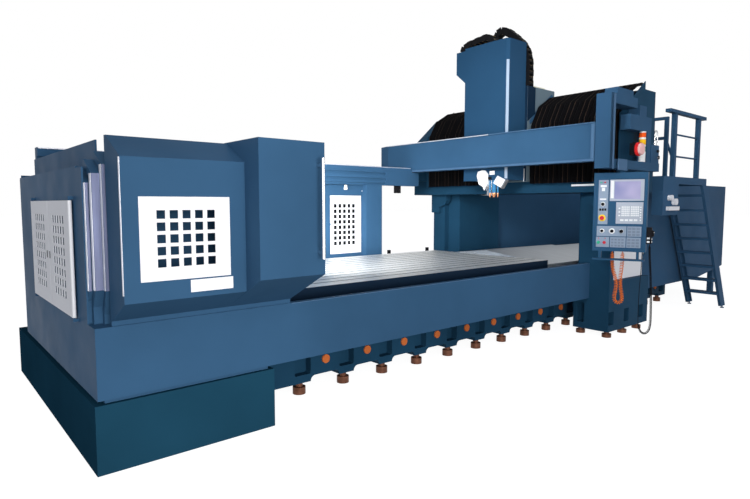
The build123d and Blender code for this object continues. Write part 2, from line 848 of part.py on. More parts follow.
# End enclosure: nested guard sections at its near corner, and a wall with an opening behind the doors
wall = tray_half_width - sheet
with BuildPart() as end_wall:
    for strip_depth, plane_depth, offset, foot_in, foot_out, top_out, top_in in shells:
        strip = strip_depth - tray_half_width
        plane = plane_depth - tray_half_width
        left = end_left + offset
        roof_in = plane + (top_in - top_out) / 0.54
        outline = [
            (strip, tray_top),
            (strip, foot_in),
            (plane, foot_out),
            (plane, top_out),
            (roof_in, top_in),
        ]
        along_x(inset(outline, -shell_sheet), left, shell_right)
        along_x(inset(outline, -shell_flange), left, left + shell_sheet)
    along_x(
        [
            (tray_half_width, tray_top),
            (tray_half_width, guard_top - 210),
            (-tray_half_width + 190, guard_top - 210),
            (-tray_half_width + 190, tray_top),
        ],
        end_left, end_left + sheet,
    )
    along_x(rectangle(-tray_half_width + 360, wall, guard_top - 210, guard_top - 198),
            end_left, end_left + 150)
    along_x(rectangle(-tray_half_width + 360, wall, guard_top - 210, guard_top),
            end_left + 138, end_left + 150)
    with BuildSketch(Plane.YZ.offset(end_left - 5)):
        Polygon(*rectangle(end_door_centre - end_door_half_width + 40,
                           end_door_centre + end_door_half_width - 40, tray_top + 40,
                           end_door_high - 30), align=None)
    extrude(amount=sheet + 10, mode=Mode.SUBTRACT)
    for side in (-1, 1):
        place = (end_door_x, end_door_centre + side * (end_door_half_width + hinge_offset))
        with BuildSketch(Plane.XY.offset(end_door_low - 30)):
            with Locations(place):
                Circle(hinge_pin_radius)
        extrude(amount=end_door_high - end_door_low + 60)
        for z in (end_door_low - 30, end_door_high + free_gap):
            along_z(rectangle(end_door_x - 12, end_left, place[1] - 12, place[1] + 12),
                    z, z + 30 - free_gap)
save(end_wall, "end_wall")

# End doors, hinged at their outer edges
for name, side in (("end_door_near", -1), ("end_door_far", 1)):
    with BuildPart() as door:
        inner_edge = end_door_centre + side * 4
        outer_edge = end_door_centre + side * (end_door_half_width + 3)
        along_z(rectangle(end_door_x - door_thickness / 2, end_door_x + door_thickness / 2,
                          *sorted((inner_edge, outer_edge))), end_door_low, end_door_high)
        vent_holes(Plane.YZ.offset(end_door_x - door_thickness),
                   ((inner_edge + outer_edge) / 2, (end_door_low + end_door_high) / 2), vent_rows,
                   2 * door_thickness)
        place = (end_door_x, end_door_centre + side * (end_door_half_width + hinge_offset))
        with BuildSketch(Plane.XY.offset(end_door_low)):
            with Locations(place):
                Circle(hinge_barrel_radius)
            with Locations(place):
                Circle(hinge_pin_radius + running_gap, mode=Mode.SUBTRACT)
        extrude(amount=end_door_high - end_door_low)
    save(door, name)

# Near guard: a folded shell and a deeper box at its right end, sliding on the tray's ledge
guard_outline = [
    (guard_strip, tray_top + running_gap),
    (guard_strip, guard_foot_z),
    (guard_plane, guard_foot_z + 160),
    (guard_plane, guard_top - guard_cap_drop),
    (guard_plane + 300, guard_top),
]
box_outline = [
    (guard_strip, tray_top + running_gap),
    (guard_strip, guard_foot_z),
    (box_plane, guard_foot_z + 265),
    (box_plane, guard_top + 5),
    (guard_plane + 300, guard_top + 5),
]
with BuildPart() as near_guard:
    along_x(inset(guard_outline, -shell_sheet), guard_left, box_left)
    along_x(guard_outline + [(guard_strip + 26, guard_top), (guard_strip + 26, tray_top + running_gap)],
            guard_left, guard_left + shell_sheet)
    along_x(box_outline + [(guard_strip + 26, guard_top + 5), (guard_strip + 26, tray_top + running_gap)],
            box_left, box_right)
    hollow = moved_sideways(box_outline, -shell_sheet)
    hollow = hollow + [(guard_strip + 60, hollow[-1][1]), (guard_strip + 60, hollow[0][1] - 10)]
    hollow[0] = (hollow[0][0], hollow[0][1] - 10)
    with BuildSketch(Plane.YZ.offset(box_left + shell_sheet)):
        Polygon(*hollow, align=None)
    extrude(amount=box_right - box_left - 2 * shell_sheet, mode=Mode.SUBTRACT)
    with BuildSketch(Plane.XZ.offset(-guard_plane - shell_sheet)):
        Polygon(*rectangle(window_left + 30, window_right - 30, window_low + 30, window_high - 30),
                align=None)
    extrude(amount=2 * shell_sheet, mode=Mode.SUBTRACT)
save(near_guard, "near_guard")

with BuildPart() as guard_window:
    along_y(rectangle(window_left, window_right, window_low, window_high), guard_plane - 6, guard_plane)
    vent_holes(Plane.XZ.offset(-guard_plane - 10),
               ((window_left + window_right) / 2, (window_low + window_high) / 2), window_rows, 30)
save(guard_window, "guard_window")

with BuildPart() as guard_handle:
    handle_y = box_plane - 75
    with BuildSketch(Plane.XY.offset(guard_top - 886)):
        with Locations((handle_x, handle_y)):
            Circle(14)
    extrude(amount=765)
    for z in (guard_top - 845, guard_top - 185):
        along_z(rectangle(handle_x - 12, handle_x + 12, handle_y, box_plane), z, z + 24)
save(guard_handle, "guard_handle")

# Far guard with its top rail box, a doorway and ventilation holes
far_panel_z = (far_door_low + far_door_high) / 2
with BuildPart() as far_guard:
    along_x(rectangle(wall, tray_half_width, tray_top, far_rail_low), end_left + sheet, far_guard_right)
    rail_inner = tray_half_width - far_rail_depth
    along_x(rectangle(rail_inner, tray_half_width, far_rail_low, far_rail_high), end_left + 150,
            beam_front - 30)
    along_x(rectangle(rail_inner, tray_half_width, far_rail_low, beam_low - beam_flange - 10),
            beam_front - 30, ram_front - 15)
    along_x(rectangle(rail_inner, tray_half_width, tray_top, far_rail_low), far_post_left, far_guard_right)
    with BuildSketch(Plane.XZ.offset(-wall - 5 - sheet)):
        Polygon(*rectangle(far_door_left + 30, far_post_left - 10, far_door_low + 30,
                           far_door_high - 30), align=None)
    extrude(amount=sheet + 10, mode=Mode.SUBTRACT)
    for level in far_groove_levels:
        with BuildSketch(Plane.XZ.offset(-rail_inner - far_groove_depth), mode=Mode.PRIVATE) as groove:
            Polygon(*rectangle(end_left + 150, far_guard_right + 80, level - far_groove_height, level), align=None)
        extrude(groove.sketch, amount=far_groove_depth, mode=Mode.SUBTRACT)
    vent_holes(Plane.XZ.offset(-wall - 5 - sheet), (far_panel_left + 325, far_panel_z), vent_rows, sheet + 10)
    with BuildSketch(Plane.XY.offset(far_door_low - 30)):
        with Locations((far_hinge_x, far_hinge_y)):
            Circle(hinge_pin_radius)
    extrude(amount=far_door_high - far_door_low + 60)
    for z in (far_door_low - 30, far_door_high + free_gap):
        along_z(rectangle(far_hinge_x - 12, far_hinge_x + 12, tray_half_width, far_hinge_y), z,
                z + 30 - free_gap)
save(far_guard, "far_guard")

# Far door, hinged outside the wall at its right edge
with BuildPart() as far_vent_door:
    along_z(rectangle(far_door_left, far_door_right + 3, far_hinge_y - door_thickness / 2,
                      far_hinge_y + door_thickness / 2), far_door_low, far_door_high)
    vent_holes(Plane.XZ.offset(-far_hinge_y - door_thickness),
               ((far_door_left + far_door_right) / 2, far_panel_z), vent_rows, 2 * door_thickness)
    with BuildSketch(Plane.XY.offset(far_door_low)):
        with Locations((far_hinge_x, far_hinge_y)):
            Circle(hinge_barrel_radius)
        with Locations((far_hinge_x, far_hinge_y)):
            Circle(hinge_pin_radius + running_gap, mode=Mode.SUBTRACT)
    extrude(amount=far_door_high - far_door_low)
save(far_vent_door, "far_vent_door")

# Rear enclosure, open at the top, with a raised corner at its right end
rear_outline = [
    (rear_left, rear_bottom),
    (rear_right - rear_corner, rear_bottom),
    (rear_right - sheet, rear_bottom + rear_corner_rise),
    (rear_right - sheet, rear_top),
    (platform_right + 20, rear_top),
    (platform_right + 20, platform_top - platform_skirt),
    (rear_left, platform_top - platform_skirt),
]
with BuildPart() as rear_enclosure:
    for y in (-rear_half_width, rear_half_width - sheet):
        along_y(rear_outline, y, y + sheet)
    along_y(rectangle(column_back, rear_left + sheet, tray_top - 40, platform_top - platform_skirt),
            rear_half_width - sheet, rear_half_width)
    along_x(rectangle(-rear_half_width, rear_half_width, rear_bottom + rear_corner_rise, rear_top),
            rear_right - sheet, rear_right)
    for side in (-1, 1):
        trough = [
            (side * bed_half_width, tray_bottom),
            (side * rear_half_width, tray_bottom),
            (side * rear_half_width, tray_top),
        ]
        along_x(inset(trough, side * sheet), column_back, rear_left)
    along_z(rectangle(column_back, rear_right - sheet, bed_half_width, rear_half_width - sheet),
            rear_bottom + rear_corner_rise, rear_bottom + rear_corner_rise + sheet)
    along_z(rectangle(column_back, rear_right - sheet, sheet - rear_half_width, -bed_half_width),
            rear_bottom + rear_corner_rise, rear_bottom + rear_corner_rise + sheet)
    along_z(rectangle(bed_right, rear_right - sheet, -bed_half_width, bed_half_width),
            rear_bottom + rear_corner_rise, rear_bottom + rear_corner_rise + sheet)
    for y in (120 - rear_half_width, rear_half_width - 120):
        along_z(rectangle(rear_right - 300, rear_right - 200, y - 50, y + 50), 0,
                rear_bottom + rear_corner_rise)
save(rear_enclosure, "rear_enclosure")

# Service platform beside the near column, with a folded panel for valves and its guard rails
with BuildPart() as platform:
    skirt_low = platform_top - platform_skirt
    along_z(rectangle(platform_left, platform_right, platform_near, platform_far), skirt_low, platform_top)
    with BuildSketch(Plane.XY.offset(skirt_low)):
        Polygon(*rectangle(platform_left + sheet, platform_right - sheet, platform_near + sheet,
                           platform_far - sheet), align=None)
    extrude(amount=platform_skirt - sheet, mode=Mode.SUBTRACT)
    along_z(rectangle(platform_left, column_back, 120 - column_outer, -column_inner - 40), column_top,
            platform_top - sheet)
    along_z(rectangle(platform_left, panel_right, platform_near, platform_near + sheet), panel_low,
            skirt_low)
    along_z(rectangle(platform_left, platform_left + sheet, platform_near + sheet, platform_near + 160),
            panel_low, skirt_low)
    rail_y = platform_near + 40
    for x in rail_posts:
        along_z(rectangle(x - rail_post / 2, x + rail_post / 2, rail_y - 30, rail_y + 30), platform_top,
                rail_top - 50)
    along_z(rectangle(rail_posts[0] - 240, rail_posts[1] + 230, rail_y - 40, rail_y + 40), rail_top - 50,
            rail_top)
    for z in (platform_top + 310, platform_top + 640):
        bar((rail_posts[0], rail_y, z), (rail_posts[1], rail_y, z), rail_bar_radius)
    inner_y = sheet / 2 - rear_half_width
    inner_top = platform_top + inner_rail_rise
    for y in (inner_y, platform_far - 60):
        along_z(rectangle(inner_rail_x - 30, inner_rail_x + 30, y - 30, y + 30), platform_top, inner_top)
    for z in (inner_top, platform_top + handrail_rise):
        along_z(rectangle(inner_rail_x - 30, inner_rail_x + 30, inner_y - 30, platform_far - 30), z, z + 50)
    foot_x = inner_rail_x + handrail_run
    bar((inner_rail_x, inner_y, platform_top + handrail_rise), (foot_x, inner_y, platform_top + handrail_foot), 21)
    bar((foot_x, inner_y, platform_top + handrail_foot + 10), (foot_x, inner_y, rear_top), 21)
save(platform, "platform")

# White panels: in the near column's recess, round the far wall's holes, and valves on the folded panel
with BuildPart() as white_panels:
    face = column_recess - column_outer
    along_z(rectangle(column_front + column_flange, column_back - 38, face - 10, face),
            column_base_top, column_top - 400)
    along_y(rectangle(far_panel_left, far_panel_left + 650, far_door_low, far_door_high), wall - 6, wall)
    vent_holes(Plane.XZ.offset(-wall), (far_panel_left + 325, far_panel_z), vent_rows, 20)
    for x, z, radius in ((platform_left + 200, panel_low + 260, 42), (platform_left + 360, panel_low + 200, 50)):
        with BuildSketch(Plane.XZ.offset(-platform_near)):
            with Locations((x, z)):
                Circle(radius)
        extrude(amount=60)
    along_y(rectangle(platform_left + 120, panel_right - 60, panel_low + 70, panel_low + 130),
            platform_near - 50, platform_near)
save(white_panels, "white_panels")

# Ladder with channel stringers, standing on small jack pads
ladder_far = platform_near + ladder_width
lean = ladder_run / platform_top
ladder_top = platform_top - platform_skirt
ladder_top_x = platform_right - 200


def ladder_x(z):
    """The stringer's left edge at a height."""
    return ladder_top_x + lean * (platform_top - z)


with BuildPart() as ladder:
    for y, web in ((platform_near, 0), (ladder_far - stringer_thickness, stringer_thickness - 8)):
        channel = [
            (ladder_x(pad_height), pad_height),
            (ladder_x(pad_height) + stringer_depth, pad_height),
            (ladder_x(ladder_top) + stringer_depth, ladder_top),
            (ladder_x(ladder_top), ladder_top),
        ]
        along_y(channel, y, y + stringer_thickness)
        inside = [
            (x + dx, z + dz)
            for (x, z), dx, dz in zip(channel, (14, -14, -14, 14), (14, 14, -14, -14))
        ]
        hollow_plane = Plane.XZ.offset(-(y + 8 + (stringer_thickness - 16 if web else 0)))
        with BuildSketch(hollow_plane, mode=Mode.PRIVATE) as hollow:
            Polygon(*inside, align=None)
        extrude(hollow.sketch, amount=-(stringer_thickness - 8) if not web else stringer_thickness - 8,
                mode=Mode.SUBTRACT)
        with BuildSketch(Plane.XY):
            with Locations((ladder_x(0) + stringer_depth / 2, y + stringer_thickness / 2)):
                Circle(32)
        extrude(amount=14)
        with BuildSketch(Plane.XY.offset(14)):
            with Locations((ladder_x(0) + stringer_depth / 2, y + stringer_thickness / 2)):
                Circle(10)
        extrude(amount=pad_height - 14 + 30)
    for index in range(tread_count):
        z = platform_top - tread_pitch * (index + 1)
        x = ladder_x(z)
        along_y(inset([(x + 4, z - 40), (x + 4, z), (x + stringer_depth - 4, z), (x + stringer_depth - 4, z - 40)], -5),
                platform_near + 8, ladder_far - 8)
save(ladder, "ladder")
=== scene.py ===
# %% [markdown]
# A double-column gantry machining center, dressed for a studio photograph.
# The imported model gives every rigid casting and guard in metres. This lesson paints them, adds the
# pieces that are too fine for the solids, and lights the machine on a pale floor.

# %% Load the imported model
import json
import math

import bmesh
import bpy
from mathutils import Matrix, Vector


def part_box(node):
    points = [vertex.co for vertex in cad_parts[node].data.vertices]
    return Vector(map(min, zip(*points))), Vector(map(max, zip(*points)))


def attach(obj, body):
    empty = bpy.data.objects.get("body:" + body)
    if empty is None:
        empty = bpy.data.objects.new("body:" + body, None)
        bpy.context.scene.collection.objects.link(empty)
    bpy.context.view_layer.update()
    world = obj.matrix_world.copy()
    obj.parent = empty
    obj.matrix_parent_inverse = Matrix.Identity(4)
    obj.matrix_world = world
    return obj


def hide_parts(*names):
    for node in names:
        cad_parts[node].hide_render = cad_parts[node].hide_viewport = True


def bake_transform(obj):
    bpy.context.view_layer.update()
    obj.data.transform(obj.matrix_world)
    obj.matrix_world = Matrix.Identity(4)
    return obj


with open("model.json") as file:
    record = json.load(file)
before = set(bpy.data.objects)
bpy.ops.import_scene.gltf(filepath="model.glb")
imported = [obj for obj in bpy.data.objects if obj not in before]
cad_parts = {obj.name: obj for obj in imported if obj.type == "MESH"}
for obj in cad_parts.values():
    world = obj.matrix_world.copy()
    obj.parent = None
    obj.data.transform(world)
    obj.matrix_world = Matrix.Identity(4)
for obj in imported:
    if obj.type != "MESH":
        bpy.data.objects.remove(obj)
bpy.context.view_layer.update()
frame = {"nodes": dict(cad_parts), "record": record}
nodes = frame["nodes"]

# %% [markdown]
# The camera stands where the photographer stood, at about head height off the machine's left corner.
# A real camera is described by its place, its aim and its lens, so these three are all that is set.

# %% Camera
scene = bpy.context.scene
camera_place = (-6.802, -5.472, 1.900)
camera_heading = 49.7
camera_tilt = -4.7
photo_width = 750
lens_in_pixels = 556
sensor_width = 36.0
farthest_seen = 200


def in_scene(name, data):
    """An object that carries this data, linked to the scene."""
    made = bpy.data.objects.new(name, data)
    scene.collection.objects.link(made)
    return made


camera_data = bpy.data.cameras.new("camera")
camera = in_scene("camera", camera_data)
camera.location = camera_place
camera.rotation_euler = (math.radians(90 + camera_tilt), 0, math.radians(camera_heading - 90))
camera_data.sensor_width = sensor_width
camera_data.lens = lens_in_pixels * sensor_width / photo_width
camera_data.clip_end = farthest_seen
scene.camera = camera
print("lens", round(camera_data.lens, 2), "mm")

# %% [markdown]
# The background of a catalogue picture is pure white, while the light on the machine stays plain.
# A world can be both: the camera, reflections and glass meet plain white, and every other ray meets
# a bluish light that is strong on one side and fades to nothing on the other, which gives form.

# %% Background
scene.view_settings.view_transform = "Standard"


def new_node(tree, kind, values=None, operation=None):
    """A node in a tree, with its inputs set by name or by number."""
    made = tree.nodes.new(kind)
    if operation:
        made.operation = operation
    for key, value in (values or {}).items():
        made.inputs[key].default_value = value
    return made


def seen_directly(tree):
    """A factor that is one for rays from the camera and for reflections and glass."""
    path = tree.nodes.new("ShaderNodeLightPath")
    factor = path.outputs["Is Camera Ray"]
    for kind in ("Is Glossy Ray", "Is Transmission Ray"):
        larger = new_node(tree, "ShaderNodeMath", operation="MAXIMUM")
        tree.links.new(factor, larger.inputs[0])
        tree.links.new(path.outputs[kind], larger.inputs[1])
        factor = larger.outputs[0]
    return factor


def split_by_ray(tree, plain, direct, output):
    """One shader for what is seen directly and a plain one for every other ray."""
    mix = tree.nodes.new("ShaderNodeMixShader")
    tree.links.new(seen_directly(tree), mix.inputs[0])
    tree.links.new(plain.outputs[0], mix.inputs[1])
    tree.links.new(direct.outputs[0], mix.inputs[2])
    tree.links.new(mix.outputs[0], tree.nodes.new(output).inputs["Surface"])


scene.world = bpy.data.worlds.new("studio")
scene.world.use_nodes = True
world_tree = scene.world.node_tree
world_tree.nodes.clear()
direction = world_tree.nodes.new("ShaderNodeTexCoord")
bright_side = new_node(world_tree, "ShaderNodeVectorMath", {1: (-0.55, -0.80, -0.45)}, "DOT_PRODUCT")
side_level = new_node(world_tree, "ShaderNodeMapRange",
                      {"From Min": -0.6, "From Max": 1.0, "To Min": 0.0, "To Max": 1.4})
soft_light = new_node(world_tree, "ShaderNodeBackground", {"Color": (0.86, 0.90, 1.0, 1)})
white_back = new_node(world_tree, "ShaderNodeBackground", {"Color": (1, 1, 1, 1), "Strength": 1.0})
world_tree.links.new(direction.outputs["Generated"], bright_side.inputs[0])
world_tree.links.new(bright_side.outputs["Value"], side_level.inputs["Value"])
world_tree.links.new(side_level.outputs["Result"], soft_light.inputs["Strength"])
split_by_ray(world_tree, soft_light, white_back, "ShaderNodeOutputWorld")
print("world nodes", len(world_tree.nodes))

# %% [markdown]
# The floor is white too, without a horizon. It is a mix as well: seen by the camera it shines white
# except where the machine shades it, and to every other ray it is an ordinary pale floor.

# %% Floor
floor_half = 90.0
floor_mesh = bpy.data.meshes.new("floor")
floor_corners = [(-floor_half, -floor_half, 0), (floor_half, -floor_half, 0),
                 (floor_half, floor_half, 0), (-floor_half, floor_half, 0)]
floor_mesh.from_pydata(floor_corners, [], [(0, 1, 2, 3)])
floor = in_scene("floor", floor_mesh)
floor.location.z = -0.001
floor_paint = bpy.data.materials.new("floor_white")
floor_paint.use_nodes = True
floor_tree = floor_paint.node_tree
floor_tree.nodes.clear()
floor_glow = new_node(floor_tree, "ShaderNodeEmission", {"Color": (1, 1, 1, 1), "Strength": 0.95})
floor_matt = new_node(floor_tree, "ShaderNodeBsdfDiffuse", {"Color": (0.26, 0.26, 0.27, 1)})
floor_seen = floor_tree.nodes.new("ShaderNodeAddShader")
floor_tree.links.new(floor_glow.outputs[0], floor_seen.inputs[0])
floor_tree.links.new(floor_matt.outputs[0], floor_seen.inputs[1])
split_by_ray(floor_tree, floor_matt, floor_seen, "ShaderNodeOutputMaterial")
floor_mesh.materials.append(floor_paint)
print("floor", 2 * floor_half, "m wide")

# %% [markdown]
# Four soft lamps light the machine: a large one from the front left, a dim narrow one on the beam,
# and two small ones inside the enclosure. A lamp's size softens its shadows, as a soft box does, and
# its spread keeps the light where it is meant.

# %% Lamps
lamps = [
    ("key_lamp", (-6.0, -7.6, 1.6), (-4.0, -1.2, 1.2), (4, 2.4), 330, (1.0, 0.98, 0.96), 180),
    ("beam_lamp", (-6.6, -3.0, 4.3), (0.2, -0.4, 3.0), (2, 1.4), 32, (0.96, 0.98, 1.0), 42),
    ("inside_lamp", (-3.6, -0.5, 2.35), (-2.6, 1.3, 1.3), (1.6, 0.5), 85, (0.96, 0.98, 1.0), 120),
    ("panel_lamp", (-4.5, -0.2, 2.1), (-3.9, 1.39, 1.6), (0.8, 0.4), 22, (0.98, 0.99, 1.0), 100),
]
for lamp_name, place, aim, size, power, tint, spread in lamps:
    lamp_data = bpy.data.lights.new(lamp_name, "AREA")
    lamp_data.shape = "RECTANGLE"
    lamp_data.size, lamp_data.size_y = size
    lamp_data.energy = power
    lamp_data.color = tint
    lamp_data.spread = math.radians(spread)
    lamp = in_scene(lamp_name, lamp_data)
    lamp.location = place
    lamp.rotation_euler = (Vector(aim) - Vector(place)).to_track_quat("-Z", "Y").to_euler()
print("lamps", [row[0] for row in lamps])

# %% [markdown]
# A finish is a small tree of nodes, and three of its parts come back in every paint and metal: noise
# in object space, which stays put when the view moves, a ramp that turns the noise into a colour or
# a gloss, and a bump that turns it into relief. Each gets a short function.

# %% Parts of a finish


def new_finish(name, colour, roughness, metallic=0.0, specular=0.10):
    """A named material, its tree and its plain shader, to build on."""
    material = bpy.data.materials.new(name)
    material.use_nodes = True
    shader = material.node_tree.nodes["Principled BSDF"]
    shader.inputs["Base Color"].default_value = (*colour, 1)
    shader.inputs["Roughness"].default_value = roughness
    shader.inputs["Metallic"].default_value = metallic
    shader.inputs["Specular IOR Level"].default_value = specular
    return material, material.node_tree, shader


def noise(tree, scale, detail=3.0, stretch=(1, 1, 1)):
    """Object-space noise, stretched along chosen axes."""
    place = tree.nodes.new("ShaderNodeTexCoord")
    mapping = new_node(tree, "ShaderNodeMapping", {"Scale": stretch})
    texture = new_node(tree, "ShaderNodeTexNoise", {"Scale": scale, "Detail": detail})
    tree.links.new(place.outputs["Object"], mapping.inputs["Vector"])
    tree.links.new(mapping.outputs["Vector"], texture.inputs["Vector"])
    return texture.outputs["Fac"]


def ramp(tree, factor, low_stop, high_stop):
    """A colour ramp between two stops, each a position and a colour."""
    made = tree.nodes.new("ShaderNodeValToRGB")
    for index, (position, colour) in enumerate((low_stop, high_stop)):
        made.color_ramp.elements[index].position = position
        made.color_ramp.elements[index].color = (*colour, 1)
    tree.links.new(factor, made.inputs["Fac"])
    return made.outputs["Color"]


def drifting(tree, factor, colour, drift):
    """A colour that runs a little darker and a little lighter with a factor."""
    dark = tuple(c * (1 - drift) for c in colour)
    light = tuple(min(1.0, c * (1 + drift)) for c in colour)
    return ramp(tree, factor, (0.3, dark), (0.7, light))


def bumped(tree, shader, factor, strength, distance):
    """A little relief from a factor."""
    made = new_node(tree, "ShaderNodeBump", {"Strength": strength, "Distance": distance})
    tree.links.new(factor, made.inputs["Height"])
    tree.links.new(made.outputs["Normal"], shader.inputs["Normal"])


print("parts of a finish ready")

# %% [markdown]
# Paint on a machine guard is satin enamel: a flat hue and a gloss that both drift a little, and fine
# orange peel. One recipe serves every painted or moulded part, with its own hue and gloss. Enamel
# reflects little here, because broad dark guards seen at a low angle would otherwise turn milky.

# %% Painted and moulded finishes
def enamel(name, colour, drift=0.12, roughness=0.42, peel=0.10, specular=0.012):
    """Satin enamel: a hue and a gloss that drift, and a fine orange peel."""
    material, tree, shader = new_finish(name, colour, roughness, 0.0, specular)
    hue = drifting(tree, noise(tree, 0.9, 4.0), colour, drift)
    gloss = ramp(tree, noise(tree, 3.0, 5.0),
                 (0.3, (roughness - 0.05,) * 3), (0.7, (roughness + 0.07,) * 3))
    tree.links.new(hue, shader.inputs["Base Color"])
    tree.links.new(gloss, shader.inputs["Roughness"])
    bumped(tree, shader, noise(tree, 160.0, 2.0), peel, 0.002)
    return material


guard_blue = enamel("guard_enamel", (0.036, 0.096, 0.180))
casting_blue = enamel("casting_enamel", (0.014, 0.056, 0.105), 0.18, 0.42, 0.25)
tank_blue = enamel("tank_enamel", (0.011, 0.052, 0.088), 0.15, 0.5, 0.10, 0.0)
ram_blue = enamel("ram_enamel", (0.021, 0.068, 0.135), 0.08, 0.32)
pendant_blue = enamel("pendant_enamel", (0.030, 0.090, 0.170), 0.06, 0.36, 0.2)
vent_white = enamel("vent_enamel", (0.86, 0.86, 0.87), 0.03, 0.40)
panel_white = enamel("panel_enamel", (0.88, 0.88, 0.89), 0.02, 0.40)
saddle_grey = enamel("saddle_enamel", (0.13, 0.18, 0.21), 0.06, 0.38)
motor_black = enamel("motor_enamel", (0.012, 0.012, 0.014), 0.2, 0.45)
chain_black = enamel("chain_plastic", (0.008, 0.008, 0.009), 0.25, 0.45, 0.2, 0.03)
handwheel_black = enamel("handwheel_plastic", (0.014, 0.014, 0.016), 0.2, 0.45, 0.3)
cable_black = enamel("cable_sheath", (0.010, 0.010, 0.012), 0.15, 0.48, 0.2)
hose_orange = enamel("hose_plastic", (0.85, 0.20, 0.035), 0.08, 0.30, 0.05)
plug_orange = enamel("plug_plastic", (0.62, 0.16, 0.045), 0.15, 0.5, 0.2)
signal_white = enamel("signal_plastic", (0.86, 0.86, 0.84), 0.03, 0.25, 0.05)
bellows_black = enamel("bellows_cloth", (0.004, 0.004, 0.0045), 0.25, 0.75, 0.5, 0.02)
print("painted and moulded finishes, with the floor's", len(bpy.data.materials))

# %% [markdown]
# Bare metal is different: its grain follows the way it was ground or rolled. Stretching the noise
# along one axis gives that grain, and the same pattern drives the colour and a slight relief.

# %% Metal finishes
def grained(name, colour, stretch, roughness, metallic=0.85, drift=0.15, relief=0.15):
    """Metal with a grain along the axis that is stretched least."""
    material, tree, shader = new_finish(name, colour, roughness, metallic)
    grain = noise(tree, 14.0, 6.0, stretch)
    tree.links.new(drifting(tree, grain, colour, drift), shader.inputs["Base Color"])
    bumped(tree, shader, grain, relief, 0.001)
    return material


table_grey = grained("table_iron", (0.72, 0.73, 0.72), (0.06, 2.0, 1.0), 0.42, 0.60, 0.10)
cover_steel = grained("cover_sheet", (0.40, 0.43, 0.46), (4.0, 0.10, 1.0), 0.38, 0.75)
spindle_steel = grained("spindle_ground", (0.62, 0.63, 0.65), (1.0, 1.0, 6.0), 0.25, 0.95)
handle_chrome = grained("handle_chrome", (0.78, 0.78, 0.80), (1.0, 1.0, 0.1), 0.10, 1.0, 0.04, 0.02)
foot_copper = grained("foot_bronze", (0.15, 0.065, 0.040), (1.0, 1.0, 1.0), 0.45, 0.55, 0.3)
metals = (table_grey, cover_steel, spindle_steel, handle_chrome, foot_copper)
print("metal finishes", [metal.name for metal in metals])

# %% [markdown]
# The table is ground bright on top and dark on its sides. Its solid is one piece, so one finish has to
# do both. The direction that a face looks in tells them apart: the iron stays where the face looks up,
# and a dark colour covers the rest.

# %% The table's dark sides
looks_up_above = 0.5
side_dark = (0.010, 0.026, 0.055)

table_tree = table_grey.node_tree
table_colour = table_tree.nodes["Principled BSDF"].inputs["Base Color"]
ground_top = table_colour.links[0].from_socket
facing = table_tree.nodes.new("ShaderNodeTexCoord")
facing_parts = table_tree.nodes.new("ShaderNodeSeparateXYZ")
is_side = new_node(table_tree, "ShaderNodeMath", {1: looks_up_above}, "LESS_THAN")
side_mix = table_tree.nodes.new("ShaderNodeMix")
side_mix.data_type = "RGBA"
side_mix.inputs["B"].default_value = (*side_dark, 1)
table_tree.links.new(facing.outputs["Normal"], facing_parts.inputs["Vector"])
table_tree.links.new(facing_parts.outputs["Z"], is_side.inputs[0])
table_tree.links.new(is_side.outputs["Value"], side_mix.inputs["Factor"])
table_tree.links.new(ground_top, side_mix.inputs["A"])
table_tree.links.new(side_mix.outputs["Result"], table_colour)
print("table finish nodes", len(table_tree.nodes))

# %% [markdown]
# Every carried-over node takes its finish by its material slot, so the loop below walks the record
# once and cannot miss a node.

# %% Finish on every node
finish_of = {
    "casting_blue": casting_blue, "guard_blue": guard_blue, "tank_blue": tank_blue,
    "ram_blue": ram_blue, "pendant_blue": pendant_blue, "foot_copper": foot_copper,
    "plug_orange": plug_orange, "table_grey": table_grey, "cover_steel": cover_steel,
    "saddle_grey": saddle_grey, "bellows_black": bellows_black, "spindle_steel": spindle_steel,
    "motor_black": motor_black, "signal_white": signal_white, "vent_white": vent_white,
    "handle_chrome": handle_chrome, "panel_white": panel_white, "chain_black": chain_black,
    "handwheel_black": handwheel_black, "cable_black": cable_black, "hose_orange": hose_orange,
}
subparts = frame["record"]["subparts"]
for subpart in subparts:
    node = nodes[subpart["node"]]
    finish = finish_of[subpart["material_slot"]]
    if not node.material_slots:
        node.data.materials.append(finish)
    for slot in node.material_slots:
        slot.material = finish
print("nodes painted", len(subparts))

# %% [markdown]
# The finer pieces are built with bmesh, in three small ways: a slab between two corners, a turned
# form from a profile that is spun round an axis, and a tube along points. Each helper adds to an
# open mesh, so that a whole family of knobs or links becomes one tidy piece.

# %% Ways to build a piece
upright = Matrix.Identity(4)
slab_faces = ((0, 1, 3, 2), (4, 6, 7, 5), (0, 4, 5, 1), (2, 3, 7, 6), (0, 2, 6, 4), (1, 5, 7, 3))


def slab(bm, low, high, finish=0, place=upright):
    """A slab between two corners, in the frame that place gives."""
    corners = [(x, y, z) for x in (low[0], high[0])
               for y in (low[1], high[1]) for z in (low[2], high[2])]
    points = [bm.verts.new(place @ Vector(corner)) for corner in corners]
    for face in slab_faces:
        bm.faces.new([points[i] for i in face]).material_index = finish


def skinned(bm, rings, finish=0):
    """Faces between neighbouring rings of points, and one over each end."""
    for lower, upper in zip(rings, rings[1:]):
        for i in range(len(lower)):
            j = (i + 1) % len(lower)
            bm.faces.new((lower[i], lower[j], upper[j], upper[i])).material_index = finish
    for ring in (rings[0], rings[-1]):
        bm.faces.new(ring).material_index = finish


def turned(bm, profile, place=upright, finish=0, segments=24):
    """A form turned round the frame's own z axis, from (radius, height) points."""
    angles = [2 * math.pi * i / segments for i in range(segments)]
    skinned(bm, [[bm.verts.new(place @ Vector((radius * math.cos(a), radius * math.sin(a), height)))
                  for a in angles] for radius, height in profile], finish)


